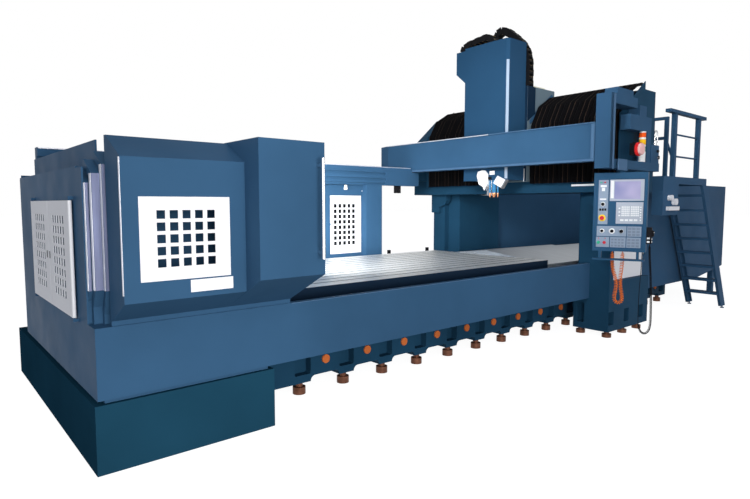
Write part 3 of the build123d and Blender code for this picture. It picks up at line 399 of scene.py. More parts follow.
def swept(bm, points, radius, finish=0, sides=10):
    """A tube along a list of points."""
    angles = [2 * math.pi * k / sides for k in range(sides)]
    rings = []
    side = None
    for i, point in enumerate(points):
        ahead = (points[min(i + 1, len(points) - 1)] - points[max(i - 1, 0)]).normalized()
        if side is None:
            side = ahead.orthogonal().normalized()
        side = (side - ahead * side.dot(ahead)).normalized()
        other = ahead.cross(side)
        rings.append([bm.verts.new(point + side * radius * math.cos(a) + other * radius * math.sin(a))
                      for a in angles])
    skinned(bm, rings, finish)


print("ways to build ready")

# %% [markdown]
# When a mesh is complete it becomes an object with a name, its finishes and the body that it rides. A
# thin bevel on the edges catches light as a rolled or moulded edge does. Much of the trim is only slabs,
# so that has a helper of its own, and a strip laid on a face keeps a hair's gap, so that the two never
# share a plane.

# %% Ways to finish a piece
gap = 0.0003
smooth_below = math.radians(35)


def finished(name, bm, finishes, body=None, bevel=0.0, smooth=False):
    """The open mesh as a named piece, with its finishes, on the body that carries it."""
    bmesh.ops.recalc_face_normals(bm, faces=bm.faces[:])
    data = bpy.data.meshes.new(name)
    bm.to_mesh(data)
    bm.free()
    for finish in finishes:
        data.materials.append(finish)
    piece = in_scene(name, data)
    if smooth:
        for polygon in data.polygons:
            polygon.use_smooth = True
        data.set_sharp_from_angle(angle=smooth_below)
    if bevel > 0:
        edge = piece.modifiers.new("edge", "BEVEL")
        edge.width = bevel
        edge.segments = 2
        edge.limit_method = "ANGLE"
    if body:
        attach(piece, body)
    return piece


def trim(name, slabs, finishes, body, bevel=0.001):
    """A piece of slabs, each given by two corners and, after them, the number of its finish."""
    bm = bmesh.new()
    for row in slabs:
        slab(bm, *row)
    return finished(name, bm, finishes, body, bevel=bevel)


def facing_front(x, y, z):
    """A frame at a place, whose own z axis points to the machine's front."""
    return Matrix.Translation((x, y, z)) @ Matrix.Rotation(math.radians(90), 4, "X")


print("ways to finish ready")

# %% [markdown]
# The pendant hangs turned toward the operator, so its pieces are placed in its own frame: across its
# face, behind it, and up. A small matrix does the turning once, and every knob uses it.

# %% Pendant frame
pendant_turn = math.radians(70)
pendant_place = (0.152, -2.090)
pendant_low = 1.300
pendant_half_width = 0.310
pendant_face = -0.083
across = Vector((math.cos(pendant_turn), -math.sin(pendant_turn), 0))
behind = Vector((math.sin(pendant_turn), math.cos(pendant_turn), 0))
pendant_frame = Matrix((
    (across.x, behind.x, 0, pendant_place[0]),
    (across.y, behind.y, 0, pendant_place[1]),
    (0, 0, 1, 0),
    (0, 0, 0, 1),
))


def on_face(bm, left, right, low, high, depth, finish):
    """A plate on the pendant's face, standing proud by its depth."""
    slab(bm, (left, pendant_face - depth, low), (right, pendant_face, high), finish, pendant_frame)


def keys(bm, left, low, columns, rows, pitch, row_pitch, width, height, finish, proud=0.012):
    """A field of keys on the pendant's face."""
    for column in range(columns):
        for row in range(rows):
            x = left + column * pitch
            z = low + row * row_pitch
            on_face(bm, x, x + width, z, z + height, proud, finish)


def knob(bm, at, up, radius, depth, finish):
    """A round knob with a chamfered edge, turned toward the operator."""
    turned(bm, [(radius, 0), (radius, depth * 0.7), (radius * 0.86, depth)],
           pendant_frame @ facing_front(at, pendant_face, up), finish)


face_corner = pendant_frame @ Vector((0, pendant_face, pendant_low))
print("pendant face at", tuple(round(v, 3) for v in face_corner))

# %% [markdown]
# The control face has a screen in a bezel, a keypad, a column with lamps, a feed knob and a stop
# button, and fields of keys below. Plain plates carry them, each a few millimetres proud, because
# that is how the real inserts catch light at their edges.

# %% Control face
field_grey = enamel("field_plastic", (0.27, 0.34, 0.43), 0.04, 0.45, 0.15)
bezel_grey = enamel("bezel_plastic", (0.42, 0.46, 0.52), 0.04, 0.42, 0.15)
key_white = enamel("key_plastic", (0.80, 0.82, 0.82), 0.03, 0.40, 0.05)
key_grey = enamel("key_grey_plastic", (0.20, 0.25, 0.32), 0.05, 0.45, 0.05)
knob_black = enamel("knob_plastic", (0.012, 0.012, 0.014), 0.1, 0.35, 0.05)
lamp_green = enamel("green_button", (0.05, 0.50, 0.28), 0.05, 0.3, 0.0)
lamp_red = enamel("red_button", (0.65, 0.04, 0.06), 0.05, 0.3, 0.0)
stop_yellow = enamel("stop_ring", (0.88, 0.62, 0.06), 0.05, 0.35, 0.0)
screen_glass, screen_tree, screen_shader = new_finish("screen_glass", (0.30, 0.31, 0.50), 0.12)
screen_hue = ramp(screen_tree, noise(screen_tree, 2.2, 2.0),
                  (0.35, (0.24, 0.26, 0.46)), (0.65, (0.46, 0.42, 0.60)))
screen_tree.links.new(screen_hue, screen_shader.inputs["Base Color"])
face_finishes = [field_grey, bezel_grey, key_white, key_grey, knob_black, lamp_green, lamp_red,
                 stop_yellow, screen_glass]
FIELD, BEZEL, WHITE, GREY, BLACK, GREEN, RED, YELLOW, GLASS = range(9)

face_plates = [
    (-0.254, -0.138, 1.640, 2.200, 0.004, FIELD), (-0.120, 0.272, 1.935, 2.202, 0.007, BEZEL),
    (-0.066, 0.232, 1.960, 2.178, 0.009, GLASS), (-0.110, -0.074, 1.970, 2.190, 0.010, WHITE),
    (-0.042, 0.268, 1.650, 1.920, 0.006, BEZEL), (-0.262, 0.086, 1.490, 1.618, 0.004, FIELD),
    (0.094, 0.256, 1.490, 1.618, 0.004, FIELD), (-0.268, -0.110, 1.350, 1.480, 0.004, FIELD),
    (-0.100, 0.082, 1.350, 1.480, 0.004, FIELD), (0.090, 0.252, 1.350, 1.480, 0.004, FIELD),
    (-0.232, -0.160, 2.110, 2.138, 0.006, WHITE), (-0.216, -0.178, 2.060, 2.104, 0.008, WHITE),
    (-0.236, -0.160, 1.948, 1.968, 0.006, WHITE),
]
key_fields = [
    (0.022, 1.745, 5, 5, 0.0195, 0.026, 0.016, 0.020, WHITE),
    (0.128, 1.745, 5, 5, 0.0195, 0.026, 0.016, 0.020, WHITE),
    (-0.012, 1.745, 1, 3, 0.02, 0.045, 0.020, 0.016, WHITE),
    (0.010, 1.684, 4, 1, 0.052, 0.03, 0.040, 0.024, WHITE),
    (0.232, 1.690, 1, 6, 0.02, 0.032, 0.016, 0.014, WHITE),
    (0.106, 1.500, 3, 3, 0.048, 0.038, 0.036, 0.026, GREY),
    (0.102, 1.360, 3, 3, 0.048, 0.038, 0.036, 0.026, GREY),
    (-0.086, 1.362, 4, 3, 0.040, 0.038, 0.026, 0.022, GREY),
    (-0.242, 2.160, 4, 1, 0.024, 0.03, 0.018, 0.018, GREY),
    (-0.238, 1.812, 3, 1, 0.030, 0.03, 0.022, 0.030, BLACK),
]
face = bmesh.new()
for plate in face_plates:
    on_face(face, *plate)
for field in key_fields:
    keys(face, *field)
print("plates", len(face_plates), "fields of keys", len(key_fields))

# %% [markdown]
# Knobs and buttons are turned parts: a green and a red button, a mode knob on a white ring, the red
# stop button on its yellow ring, three selectors in a row, and lamps. A table gives each one's place
# across and up, its radius, how far it stands out, and its finish.

# %% Knobs and buttons
knobs = [
    (-0.226, 2.170, 0.010, 0.016, GREEN), (-0.180, 2.170, 0.010, 0.016, RED),
    (-0.198, 1.895, 0.030, 0.006, WHITE), (-0.198, 1.895, 0.020, 0.030, BLACK),
    (-0.204, 1.720, 0.044, 0.008, YELLOW), (-0.204, 1.720, 0.026, 0.034, RED),
    (-0.200, 1.556, 0.030, 0.006, WHITE), (-0.200, 1.556, 0.017, 0.030, BLACK),
    (-0.082, 1.556, 0.036, 0.006, WHITE), (-0.082, 1.556, 0.020, 0.030, BLACK),
    (0.030, 1.556, 0.026, 0.006, WHITE), (0.030, 1.556, 0.022, 0.030, BLACK),
    (-0.238, 1.408, 0.019, 0.020, GREEN), (-0.168, 1.408, 0.019, 0.020, RED),
    (-0.236, 1.462, 0.006, 0.010, RED), (-0.158, 1.462, 0.006, 0.010, RED),
]
for row in knobs:
    knob(face, *row)
control_face = finished("control_face", face, face_finishes, "pendant", bevel=0.0015)
print("control face", len(control_face.data.polygons), "faces")

# %% [markdown]
# The handwheel unit clips to the pendant's side: a case with a dial and its crank grip, pale keys and
# a ring of graduation lines. It replaces the plain case, and is turned and slabbed like the face.

# %% Handwheel unit
def facing_side(x, y, z):
    """A frame at a place on the pendant, whose own z axis points along its width."""
    place = Matrix.Translation((x, y, z)) @ Matrix.Rotation(math.radians(90), 4, "Y")
    return pendant_frame @ place


dial_lines = 14
dial = facing_side(0.370, 0, 1.530)
unit = bmesh.new()
slab(unit, (pendant_half_width, -0.046, 1.402), (0.366, 0.048, 1.608), 0, pendant_frame)
slab(unit, (0.366, -0.040, 1.410), (0.370, 0.042, 1.600), 1, pendant_frame)
turned(unit, [(0.042, 0), (0.042, 0.010), (0.036, 0.013), (0.036, 0.020), (0.030, 0.024)], dial, 1, 32)
turned(unit, [(0.007, 0), (0.007, 0.010), (0.004, 0.012)], facing_side(0.386, -0.020, 1.545), 2, 16)
for low in (1.418, 1.452):
    slab(unit, (0.368, -0.034, low), (0.374, 0.030, low + 0.020), 2, pendant_frame)
for low in (1.418, 1.462):
    slab(unit, (0.318, -0.050, low), (0.350, -0.046, low + 0.022), 2, pendant_frame)
for index in range(dial_lines):
    line_place = dial @ Matrix.Rotation(2 * math.pi * index / dial_lines, 4, "Z")
    slab(unit, (0.036, -0.001, 0.0098), (0.041, 0.001, 0.0106), 2, line_place)
handwheel_unit = finished("handwheel_unit", unit, [handwheel_black, knob_black, key_white], "pendant",
                          bevel=0.003)
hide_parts("handwheel")
print("handwheel unit", len(handwheel_unit.data.polygons), "faces")

# %% [markdown]
# Two curly lines hang from the pendant: the orange air hose and the handwheel's black cable. A
# curly cord is a helix wound round its route, so the route is laid first as a smooth curve through
# the same points as the solid tube, read back as a fine line, and the helix is wound about it.

# %% Routes and helices
def in_metres(route):
    """A route given along the pendant's width, toward the operator and up, in millimetres."""
    return [pendant_frame @ Vector((a / 1000, -f / 1000, z / 1000)) for a, f, z in route]


def smooth_curve(name, points, resolution):
    """Curve data with one smooth spline that follows some points."""
    data = bpy.data.curves.new(name, "CURVE")
    data.dimensions = "3D"
    data.resolution_u = resolution
    spline = data.splines.new("NURBS")
    spline.points.add(len(points) - 1)
    for made, point in zip(spline.points, points):
        made.co = (*point, 1)
    spline.order_u = 3
    spline.use_endpoint_u = True
    return data


def smooth_line(points, name):
    """The points of a smooth curve that follows a route."""
    carrier = in_scene(name, smooth_curve(name, points, resolution=12))
    bpy.context.view_layer.update()
    mesh = bpy.data.meshes.new_from_object(carrier)
    line = [v.co.copy() for v in mesh.vertices]
    bpy.data.objects.remove(carrier)
    bpy.data.meshes.remove(mesh)
    return line


def lengths_along(line):
    """The length from a line's start to each of its points."""
    lengths = [0.0]
    for a, b in zip(line, line[1:]):
        lengths.append(lengths[-1] + (b - a).length)
    return lengths


def walked(line, places):
    """The point and the direction at each of some lengths along a line."""
    lengths = lengths_along(line)
    segment = 0
    for along in places:
        while segment < len(line) - 2 and lengths[segment + 1] < along:
            segment += 1
        start, end = line[segment], line[segment + 1]
        share = (along - lengths[segment]) / (lengths[segment + 1] - lengths[segment])
        yield start.lerp(end, share), (end - start).normalized()


def helix_round(line, radius, pitch, closing, per_turn=12):
    """Points that wind round a line, and close in on it over a short length at each end."""
    total = lengths_along(line)[-1]
    count = int(total / pitch * per_turn)
    places = [total * step / count for step in range(count + 1)]
    side = (line[1] - line[0]).orthogonal().normalized()
    points = []
    for step, (centre, ahead) in enumerate(walked(line, places)):
        side = (side - ahead * side.dot(ahead)).normalized()
        other = ahead.cross(side)
        opened = min(1.0, places[step] / closing, (total - places[step]) / closing)
        angle = 2 * math.pi * step / per_turn
        points.append(centre + (side * math.cos(angle) + other * math.sin(angle)) * radius * opened)
    return points


def cord_curve(name, points, radius, finish):
    """A cord as a smooth curve with a round section."""
    data = smooth_curve(name, points, resolution=2)
    data.bevel_depth = radius
    data.bevel_resolution = 2
    data.use_fill_caps = True
    data.materials.append(finish)
    return in_scene(name, data)


print("routes and helices ready")

# %% [markdown]
# The air hose hangs in a loop with both ends at the pendant's foot. It is moulded springy plastic,
# so its coils are even and close, and it straightens a little where it enters the fittings.

# %% Air hose
hose_route = [
    (-77, 0, 1300), (-77, 0, 1200), (-68, 18, 1080), (-25, 34, 955), (-14, 30, 850), (-34, 14, 745),
    (-42, 4, 680), (-24, 0, 642), (8, 0, 632), (40, 0, 644), (56, -4, 684), (46, -14, 750),
    (26, -30, 850), (22, -34, 955), (36, -18, 1080), (43, 0, 1200), (43, 0, 1300),
]
hose_line = smooth_line(in_metres(hose_route), "hose_line")
hose_tube_radius = 0.0045
hose_points = helix_round(hose_line, radius=0.0205, pitch=0.021, closing=0.05)
air_hose = cord_curve("air_hose_coils", hose_points, hose_tube_radius, hose_orange)
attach(air_hose, "pendant")
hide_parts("air_hose")

# %% [markdown]
# The handwheel's cable is curly only where it has to stretch: it hangs from the unit in coils, turns
# up again at the bottom, and runs back to the pendant as a plain straight cable. Both parts are one
# list of points, so the cable has no seam.

# %% Handwheel cable
curl_route = [
    (350, 20, 1395), (350, 20, 1290), (374, 20, 1020), (388, 20, 700), (393, 20, 480), (392, 20, 400),
    (380, 20, 318), (345, 20, 272), (300, 20, 272), (264, 20, 318), (252, 20, 400),
]
cable_route = [
    (250, 18, 500), (249, 12, 680), (255, 6, 900), (266, 0, 1120), (266, 0, 1300),
]
curl_line = smooth_line(in_metres(curl_route), "curl_line")
cable_sheath_radius = 0.0038
curl_points = helix_round(curl_line, radius=0.0118, pitch=0.0125, closing=0.04)
cable_points = curl_points + in_metres(cable_route)
handwheel_cord = cord_curve("handwheel_curly_cable", cable_points, cable_sheath_radius, cable_black)
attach(handwheel_cord, "pendant")
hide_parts("handwheel_cable")

# %% [markdown]
# Bellows are coated cloth folded like a concertina, on the way covers of the rail. Each fold is a
# ridge and a valley across the same outline, and on two ridges in three a thin stiffener shows as a
# brown line.

# %% Bellows
ridge_brown = enamel("ridge_edge", (0.055, 0.036, 0.026), 0.5, 0.6, 0.1)
bellows_outline = [(0.395, 2.200), (0.395, 3.070), (0.560, 3.350), (0.860, 3.520), (1.080, 3.570)]
valley_side = [(1, 0), (0.97, -0.24), (0.73, -0.68), (0.38, -0.92), (0.20, -0.98)]
fold_pitch = 0.076
fold_depth = 0.040
ridge_width = 0.0045
cloth_thickness = 0.003


def bellows(name, near_y, far_y, node):
    """Pleated cloth between two places along the rail."""
    folds = max(4, round((far_y - near_y) / fold_pitch))
    pitch = (far_y - near_y) / folds
    stations = []
    for index in range(folds):
        start = near_y + (far_y - near_y) * index / folds
        stations += [(start + pitch * 0.04, fold_depth), (start + pitch / 2 - ridge_width / 2, 0.0),
                     (start + pitch / 2 + ridge_width / 2, 0.0)]
    stations.append((far_y - 0.002, fold_depth))
    bm = bmesh.new()
    rows = [[bm.verts.new((x + side[0] * drop, y, z + side[1] * drop))
             for (x, z), side in zip(bellows_outline, valley_side)] for y, drop in stations]
    for index, (row, after) in enumerate(zip(rows, rows[1:])):
        # A fold has three strips, and the second is its ridge: brown in two folds of three.
        finish = 1 if index % 9 in (1, 4) else 0
        for corner in range(len(bellows_outline) - 1):
            strip = (row[corner], after[corner], after[corner + 1], row[corner + 1])
            bm.faces.new(strip).material_index = finish
    piece = finished(name, bm, [bellows_black, ridge_brown], None)
    cloth = piece.modifiers.new("cloth", "SOLIDIFY")
    cloth.thickness = cloth_thickness
    cloth.offset = -1
    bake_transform(piece)
    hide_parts(node)


near_cloth_low, near_cloth_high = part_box("bellows_near")
far_cloth_low, far_cloth_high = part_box("bellows_far")
bellows("bellows_near_cloth", near_cloth_low.y, near_cloth_high.y, "bellows_near")
bellows("bellows_far_cloth", far_cloth_low.y, far_cloth_high.y, "bellows_far")
print("bellows from", round(near_cloth_low.y, 3), "to", round(far_cloth_high.y, 3))

# %% [markdown]
# Cable chains are strings of plastic links, each with two side plates and a crossbar above and below,
# and the cables inside. The links are laid along a smooth line that follows the solid's middle. The
# chain behind the ram stands on the saddle, and is laid where it stands without riding a body.

# %% Cable chains
# Painted highlight: a brassy strip beside each crossbar, where the links catch the light.
crossbar_highlight = enamel("crossbar_painted_highlight", (0.16, 0.115, 0.060), 0.3, 0.5, 0.1)
cable_lanes = (-0.5, -0.15, 0.2, 0.55)
cable_radius = 0.011


def chain_links(name, line, half_width, half_height, link, body):
    """Links along a line in a plane across X, with their crossbars and cables."""
    bm = bmesh.new()
    total = lengths_along(line)[-1]
    count = int(total / link)
    half = total / count / 2
    plate_end = half * 1.12
    bar_end = half * 0.42
    bar_side = half_width - 0.014
    wide = Vector((1, 0, 0))
    places = [total * (index + 0.5) / count for index in range(count)]
    for index, (centre, ahead) in enumerate(walked(line, places)):
        tall = wide.cross(ahead).normalized()
        place = Matrix((
            (wide.x, ahead.x, tall.x, centre.x),
            (wide.y, ahead.y, tall.y, centre.y),
            (wide.z, ahead.z, tall.z, centre.z),
            (0, 0, 0, 1),
        ))
        # Every second link is narrower, so that its plates fit between its neighbours'.
        shift = 0.004 if index % 2 else 0.0
        plate_top = half_height - shift
        for side in (-1, 1):
            left, right = sorted((side * (half_width - 0.012 - shift), side * (half_width - shift)))
            slab(bm, (left, -plate_end, -plate_top), (right, plate_end, plate_top), 0, place)
        for side in (-1, 1):
            low, high = sorted((side * (half_height - 0.010), side * (half_height - 0.002)))
            slab(bm, (-bar_side, -bar_end, low), (bar_side, bar_end, high), 0, place)
            # The strip beside each crossbar is a painted highlight.
            slab(bm, (-bar_side, bar_end, low), (bar_side, half * 0.50, high), 1, place)
    for lane in cable_lanes:
        points = [p + Vector((lane * half_width, 0, 0)) for p in line[::3]]
        swept(bm, points, cable_radius, 0, 8)
    return finished(name, bm, [chain_black, crossbar_highlight], body)


saddle_chain_path = [Vector((0.404, y, z)) for y, z in (
    (-0.5003, 3.642), (-0.5003, 3.78), (-0.502, 3.955), (-0.474, 4.125), (-0.398, 4.268),
    (-0.268, 4.392), (-0.148, 4.496), (-0.055, 4.550), (0.034, 4.528), (0.092, 4.440), (0.110, 4.295))]
saddle_line = smooth_line(saddle_chain_path, "saddle_chain_line")
saddle_links = chain_links("saddle_chain_links", saddle_line, 0.058, 0.054, 0.078, None)
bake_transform(saddle_links)
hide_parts("saddle_chain")

ram_chain_path = [Vector((0.005, y, z)) for y, z in (
    (0.378, 4.236), (0.372, 4.290), (0.300, 4.322), (0.150, 4.340), (-0.010, 4.360),
    (-0.090, 4.362), (-0.160, 4.330), (-0.178, 4.268))]
ram_line = smooth_line(ram_chain_path, "ram_chain_line")
ram_links = chain_links("ram_chain_links", ram_line, 0.074, 0.045, 0.066, "ram")
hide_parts("ram_chain")
print("chain faces", len(saddle_links.data.polygons), len(ram_links.data.polygons))

# %% [markdown]
# The signal tower is a stack of coloured rings with a white cap and base. Each ring is a turned band
# a little fuller at its middle, so that it catches light as moulded plastic does.

# %% Signal tower
signal_red = enamel("signal_red_ring", (0.80, 0.10, 0.015), 0.05, 0.25, 0.0)
signal_amber = enamel("signal_amber_ring", (0.88, 0.48, 0.02), 0.05, 0.25, 0.0)
signal_green = enamel("signal_green_ring", (0.01, 0.32, 0.18), 0.05, 0.25, 0.0)
signal_low, signal_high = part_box("signal_tower")
signal_axis = Matrix.Translation(((signal_low.x + signal_high.x) / 2,
                                  (signal_low.y + signal_high.y) / 2, signal_low.z))
signal_radius = (signal_high.x - signal_low.x) / 2
signal_height = signal_high.z - signal_low.z
ring_end = signal_radius * 0.93
core_radius = signal_radius * 0.86
signal_rings = [(0.000, 0.350, 0), (0.358, 0.500, 3), (0.508, 0.560, 0), (0.568, 0.738, 2),
                (0.746, 0.800, 0), (0.808, 0.955, 1), (0.963, 1.000, 0)]
bm = bmesh.new()
for start, end, finish in signal_rings:
    low, high = start * signal_height, end * signal_height
    edge = min(0.004, (high - low) / 4)
    turned(bm, [(ring_end, low), (signal_radius, low + edge), (signal_radius, high - edge),
                (ring_end, high)], signal_axis, finish, 32)
turned(bm, [(core_radius, 0.0), (core_radius, signal_height * 0.97)], signal_axis, 0, 24)
signal_stack = finished("signal_stack", bm, [signal_white, signal_red, signal_amber, signal_green],
                        "frame", smooth=True)
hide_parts("signal_tower")
print("signal rings", len(signal_rings), "over", round(signal_height, 3), "m")

# %% [markdown]
# The servo motor that drives the saddle is a black square body with cooling ribs. In front of it sit
# a red brake ring and a pale red cap. The ribs stand at an even pitch up its sides.

# %% Servo motor
cap_red = enamel("brake_ring", (0.72, 0.030, 0.030), 0.06, 0.3, 0.05)
cap_pale = enamel("brake_cap", (0.86, 0.50, 0.48), 0.05, 0.35, 0.05)
motor_low, motor_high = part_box("servo_motor")
tower_low, tower_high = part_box("tower")
motor_x = (motor_low.x + motor_high.x) / 2
motor_z = (motor_low.z + motor_high.z) / 2
motor_half = 0.074
motor_length = 0.060
motor_foot = tower_low.y
bm = bmesh.new()
slab(bm, (motor_x - motor_half, motor_foot - motor_length, motor_z - motor_half),
     (motor_x + motor_half, motor_foot, motor_z + motor_half))
for index in range(7):
    level = motor_z - motor_half + 0.012 + index * 0.021
    slab(bm, (motor_x - motor_half - 0.005, motor_foot - 0.054, level),
         (motor_x + motor_half + 0.005, motor_foot - 0.008, level + 0.008))
slab(bm, (motor_x - 0.03, motor_foot - 0.050, motor_z + motor_half),
     (motor_x + 0.03, motor_foot - 0.014, motor_z + motor_half + 0.018))
outward = facing_front(motor_x, motor_foot - motor_length, motor_z)
turned(bm, [(0.070, 0), (0.084, 0.003), (0.086, 0.010), (0.086, 0.030), (0.080, 0.036)], outward, 1, 40)
turned(bm, [(0.068, 0.036), (0.074, 0.040), (0.074, 0.060), (0.066, 0.070), (0.030, 0.074)],
       outward, 2, 40)
servo = finished("servo_body", bm, [motor_black, cap_red, cap_pale], "frame", smooth=True)
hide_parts("servo_motor")
print("servo motor on the tower at", round(motor_x, 3), round(motor_z, 3))

# %% [markdown]
# Coolant nozzles hang at the ram's foot: a flat white casting with a pointed spout, a tilted white
# can with a grey rim, and three blue rods with copper tips. They move with the ram, and the flat
# ones stay thin enough to pass behind the beam cover.

# %% Coolant nozzles
nozzle_white = enamel("nozzle_plastic", (0.90, 0.90, 0.88), 0.03, 0.4, 0.05)
rod_blue = enamel("nozzle_rod", (0.05, 0.22, 0.42), 0.1, 0.3, 0.05)
tip_copper = grained("nozzle_tip", (0.72, 0.33, 0.16), (1, 1, 1), 0.35, 0.6)
rim_grey = enamel("nozzle_rim", (0.22, 0.23, 0.24), 0.05, 0.4, 0.05)
ram_face = -0.0953
rod_x = ram_face + 0.036
rod_top = 2.249
rod_length = 0.186
tip_length = 0.064
rods = [(-0.193, 0.014), (-0.266, 0.030), (-0.335, 0.012)]


def plate_across_x(bm, outline, near, far, finish=0):
    """A plate with its outline in YZ, between two places along X."""
    skinned(bm, [[bm.verts.new((x, y, z)) for y, z in outline] for x in (near, far)], finish)


bm = bmesh.new()
plate_across_x(bm, [(0.005, 2.384), (-0.073, 2.405), (-0.131, 2.399), (-0.186, 2.337), (-0.186, 2.197),
                    (-0.146, 2.152), (-0.119, 2.097), (-0.094, 2.152), (-0.014, 2.197), (0.024, 2.321)],
               ram_face - 0.017, ram_face - 0.0005)
plate_across_x(bm, [(-0.014, 2.246), (-0.186, 2.246), (-0.186, 2.197), (-0.146, 2.152),
                    (-0.094, 2.152), (-0.014, 2.197)], ram_face, ram_face + 0.060)
plate_across_x(bm, [(-0.360, 2.311), (-0.500, 2.247), (-0.424, 2.135), (-0.285, 2.205)],
               ram_face - 0.017, ram_face - 0.0005)
plate_across_x(bm, [(-0.500, 2.247), (-0.516, 2.235), (-0.438, 2.121), (-0.424, 2.135)],
               ram_face - 0.018, ram_face + 0.050, 1)
plate_across_x(bm, [(-0.500, 2.246), (-0.424, 2.135), (-0.330, 2.182), (-0.300, 2.246)],
               ram_face, ram_face + 0.050)
for rod_y, radius in rods:
    rod = Matrix.Translation((rod_x, rod_y, rod_top))
    turned(bm, [(radius * 0.8, 0), (radius, -0.020), (radius, -rod_length)], rod, 2, 20)
    turned(bm, [(radius * 1.1, -rod_length), (radius * 1.1, -rod_length - 0.019),
                (radius * 0.5, -rod_length - tip_length)], rod, 3, 20)
for below in (0.05, 0.09, 0.13):
    ring = Matrix.Translation((rod_x, rods[1][0], rod_top - below))
    turned(bm, [(0.031, 0), (0.034, -0.004), (0.031, -0.008)], ring, 2, 20)
slab(bm, (ram_face - 0.016, -0.245, 2.262), (ram_face - 0.0005, -0.190, 2.300), 4)
slab(bm, (ram_face - 0.015, -0.300, 2.330), (ram_face - 0.0005, -0.215, 2.385), 0)
finished("coolant_nozzles", bm, [nozzle_white, rim_grey, rod_blue, tip_copper, knob_black], "ram",
         bevel=0.001)
print("nozzles reach down to", round(rod_top - rod_length - tip_length, 3), "m")

# %% [markdown]
# Folded sheet metal shows most at its edges. The nested sections at the enclosure's corner end in pairs
# of pale metal strips, painted bright as highlights where they catch the light, with a darker band round
# each corner that is painted shade. The near guard has one such strip, and a small white plate on its
# face. All are thin trim, laid on a few millimetres proud.

# %% Trim on the corner and the near guard
# Painted highlight: a pale metal for strips along edges that catch the light. Painted shade: a dark band
# for the corners that lie in shade.
highlight_strip_metal = grained("painted_highlight_strip", (0.66, 0.68, 0.74), (3.0, 3.0, 0.15), 0.35, 0.5, 0.12)
corner_shade_band = grained("painted_corner_shade", (0.17, 0.19, 0.30), (3.0, 3.0, 0.15), 0.40, 0.3, 0.25)
corner_left = -5.848
guard_front = -1.700
corner_sections = [(-1.242, 0.012, 0.020, 1.290, 2.046), (-1.311, 0.037, 0.052, 1.298, 2.109),
                   (-1.347, 0.095, 0.060, 1.294, 2.170)]
corner_slabs = []
for plane, inset, band, low, high in corner_sections:
    left = corner_left + inset
    corner_slabs += [
        ((left - 0.004, plane, low), (left - gap, plane + 0.022, high)),
        ((left - 0.004, plane + 0.026, low), (left - gap, plane + 0.048, high)),
        ((left + 0.001, plane - 0.0030, low), (left + band, plane - gap, high), 1),
    ]
trim("corner_strips", corner_slabs, [highlight_strip_metal, corner_shade_band], "frame")
guard_low, guard_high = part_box("near_guard")
trim("guard_strip", [((guard_low.x - 0.004, -1.699, 1.300), (guard_low.x - gap, -1.676, 2.200))],
     [highlight_strip_metal], "near_guard")
trim("bare_plate", [((-5.292, guard_front - 0.006, 1.283), (-4.974, guard_front - gap, 1.370))],
     [panel_white], "near_guard")
print("corner sections", len(corner_sections))

# %% [markdown]
# The beam cover has a rolled top edge with a painted highlight, bright where the light reaches it and
# paler toward the near end. Its foot has a folded flange and its near corner a fold, both painted pale
# as highlights. The tower's corner carries a pale painted highlight strip too, with a wider one at its
# foot.

# %% Edges of the beam and the tower
# Painted highlight for edges and folds that catch the light.
painted_edge_highlight = enamel("painted_edge_highlight_enamel", (0.075, 0.150, 0.255), 0.06, 0.35, 0.05)
beam_low, beam_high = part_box("beam_cover")
beam_far_end = 1.905
bright_from = -0.300
face_out = beam_low.x - 0.004
face_in = beam_low.x - gap
trim("beam_edges", [
    ((face_out, bright_from, beam_high.z - 0.012), (face_in, beam_far_end, beam_high.z)),
    ((face_out, beam_low.y + 0.006, beam_high.z - 0.012), (face_in, bright_from, beam_high.z), 1),
    ((face_out, beam_low.y + 0.006, beam_low.z + 0.002), (face_in, beam_far_end, beam_low.z + 0.030), 1),
    ((face_out, beam_low.y + 0.004, beam_low.z + 0.034),
     (face_in, beam_low.y + 0.050, beam_high.z - 0.020), 1),
], [highlight_strip_metal, painted_edge_highlight], "frame")
trim("tower_edges", [
    ((tower_low.x + 0.004, tower_low.y - 0.004, tower_low.z + 0.01),
     (tower_low.x + 0.048, tower_low.y - gap, tower_high.z - 0.11)),
    ((-0.105, tower_low.y - 0.010, tower_low.z + 0.004), (0.125, tower_low.y - gap, 2.450)),
], [painted_edge_highlight], "frame", bevel=0.002)
print("beam top edge at", round(beam_high.z, 3))

# %% [markdown]
# Round the saddle lie a dark plate and a thin dark strip beside the ram, which are painted shade where
# the saddle's near front lies in shade, a sloping blue cover along the bellows' top and a cream strip.
# They ride the saddle. A white bar lies on the rail below.

# %% Saddle covers
# Painted shade: a dark blue for the saddle's near front, which lies in shade.
saddle_painted_shade = enamel("saddle_shade_enamel", (0.008, 0.022, 0.045), 0.1, 0.45, 0.1)
cream = enamel("cream_strip", (0.80, 0.78, 0.62), 0.04, 0.45, 0.05)
saddle_low, saddle_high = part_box("saddle")
saddle_side = saddle_low.y


def plate_across_y(bm, outline, near, far, finish=0):
    """A plate with its outline in XZ, between two places along Y."""
    skinned(bm, [[bm.verts.new((x, y, z)) for x, z in outline] for y in (near, far)], finish)


bm = bmesh.new()
# A dark plate and a thin strip beside the ram, both painted shade.
plate_across_y(bm, [(0.336, 3.120), (0.336, 3.639), (0.525, 3.639), (0.525, 3.245)],
               saddle_side - 0.006, saddle_side - gap, 0)
plate_across_y(bm, [(0.400, 3.078), (0.390, 3.130), (0.500, 3.245), (0.960, 3.585), (1.030, 3.545)],
               saddle_side - 0.005, saddle_side - gap, 1)
slab(bm, (0.329, saddle_side + 0.0005, 2.235), (0.3347, -0.5065, 3.639), 0)
slab(bm, (0.3265, -0.520, 2.236), (0.329, -0.508, 2.425), 2)
slab(bm, (0.500, saddle_side + 0.002, 3.6403), (0.780, saddle_side + 0.045, 3.656), 3)
finished("saddle_covers", bm, [saddle_painted_shade, guard_blue, panel_white, cream], "saddle",
         bevel=0.001)
trim("rail_bar", [((0.4935, -1.551, 2.148), (0.4997, -1.197, 2.176))], [panel_white], "frame")
print("saddle covers from", round(saddle_side, 3))
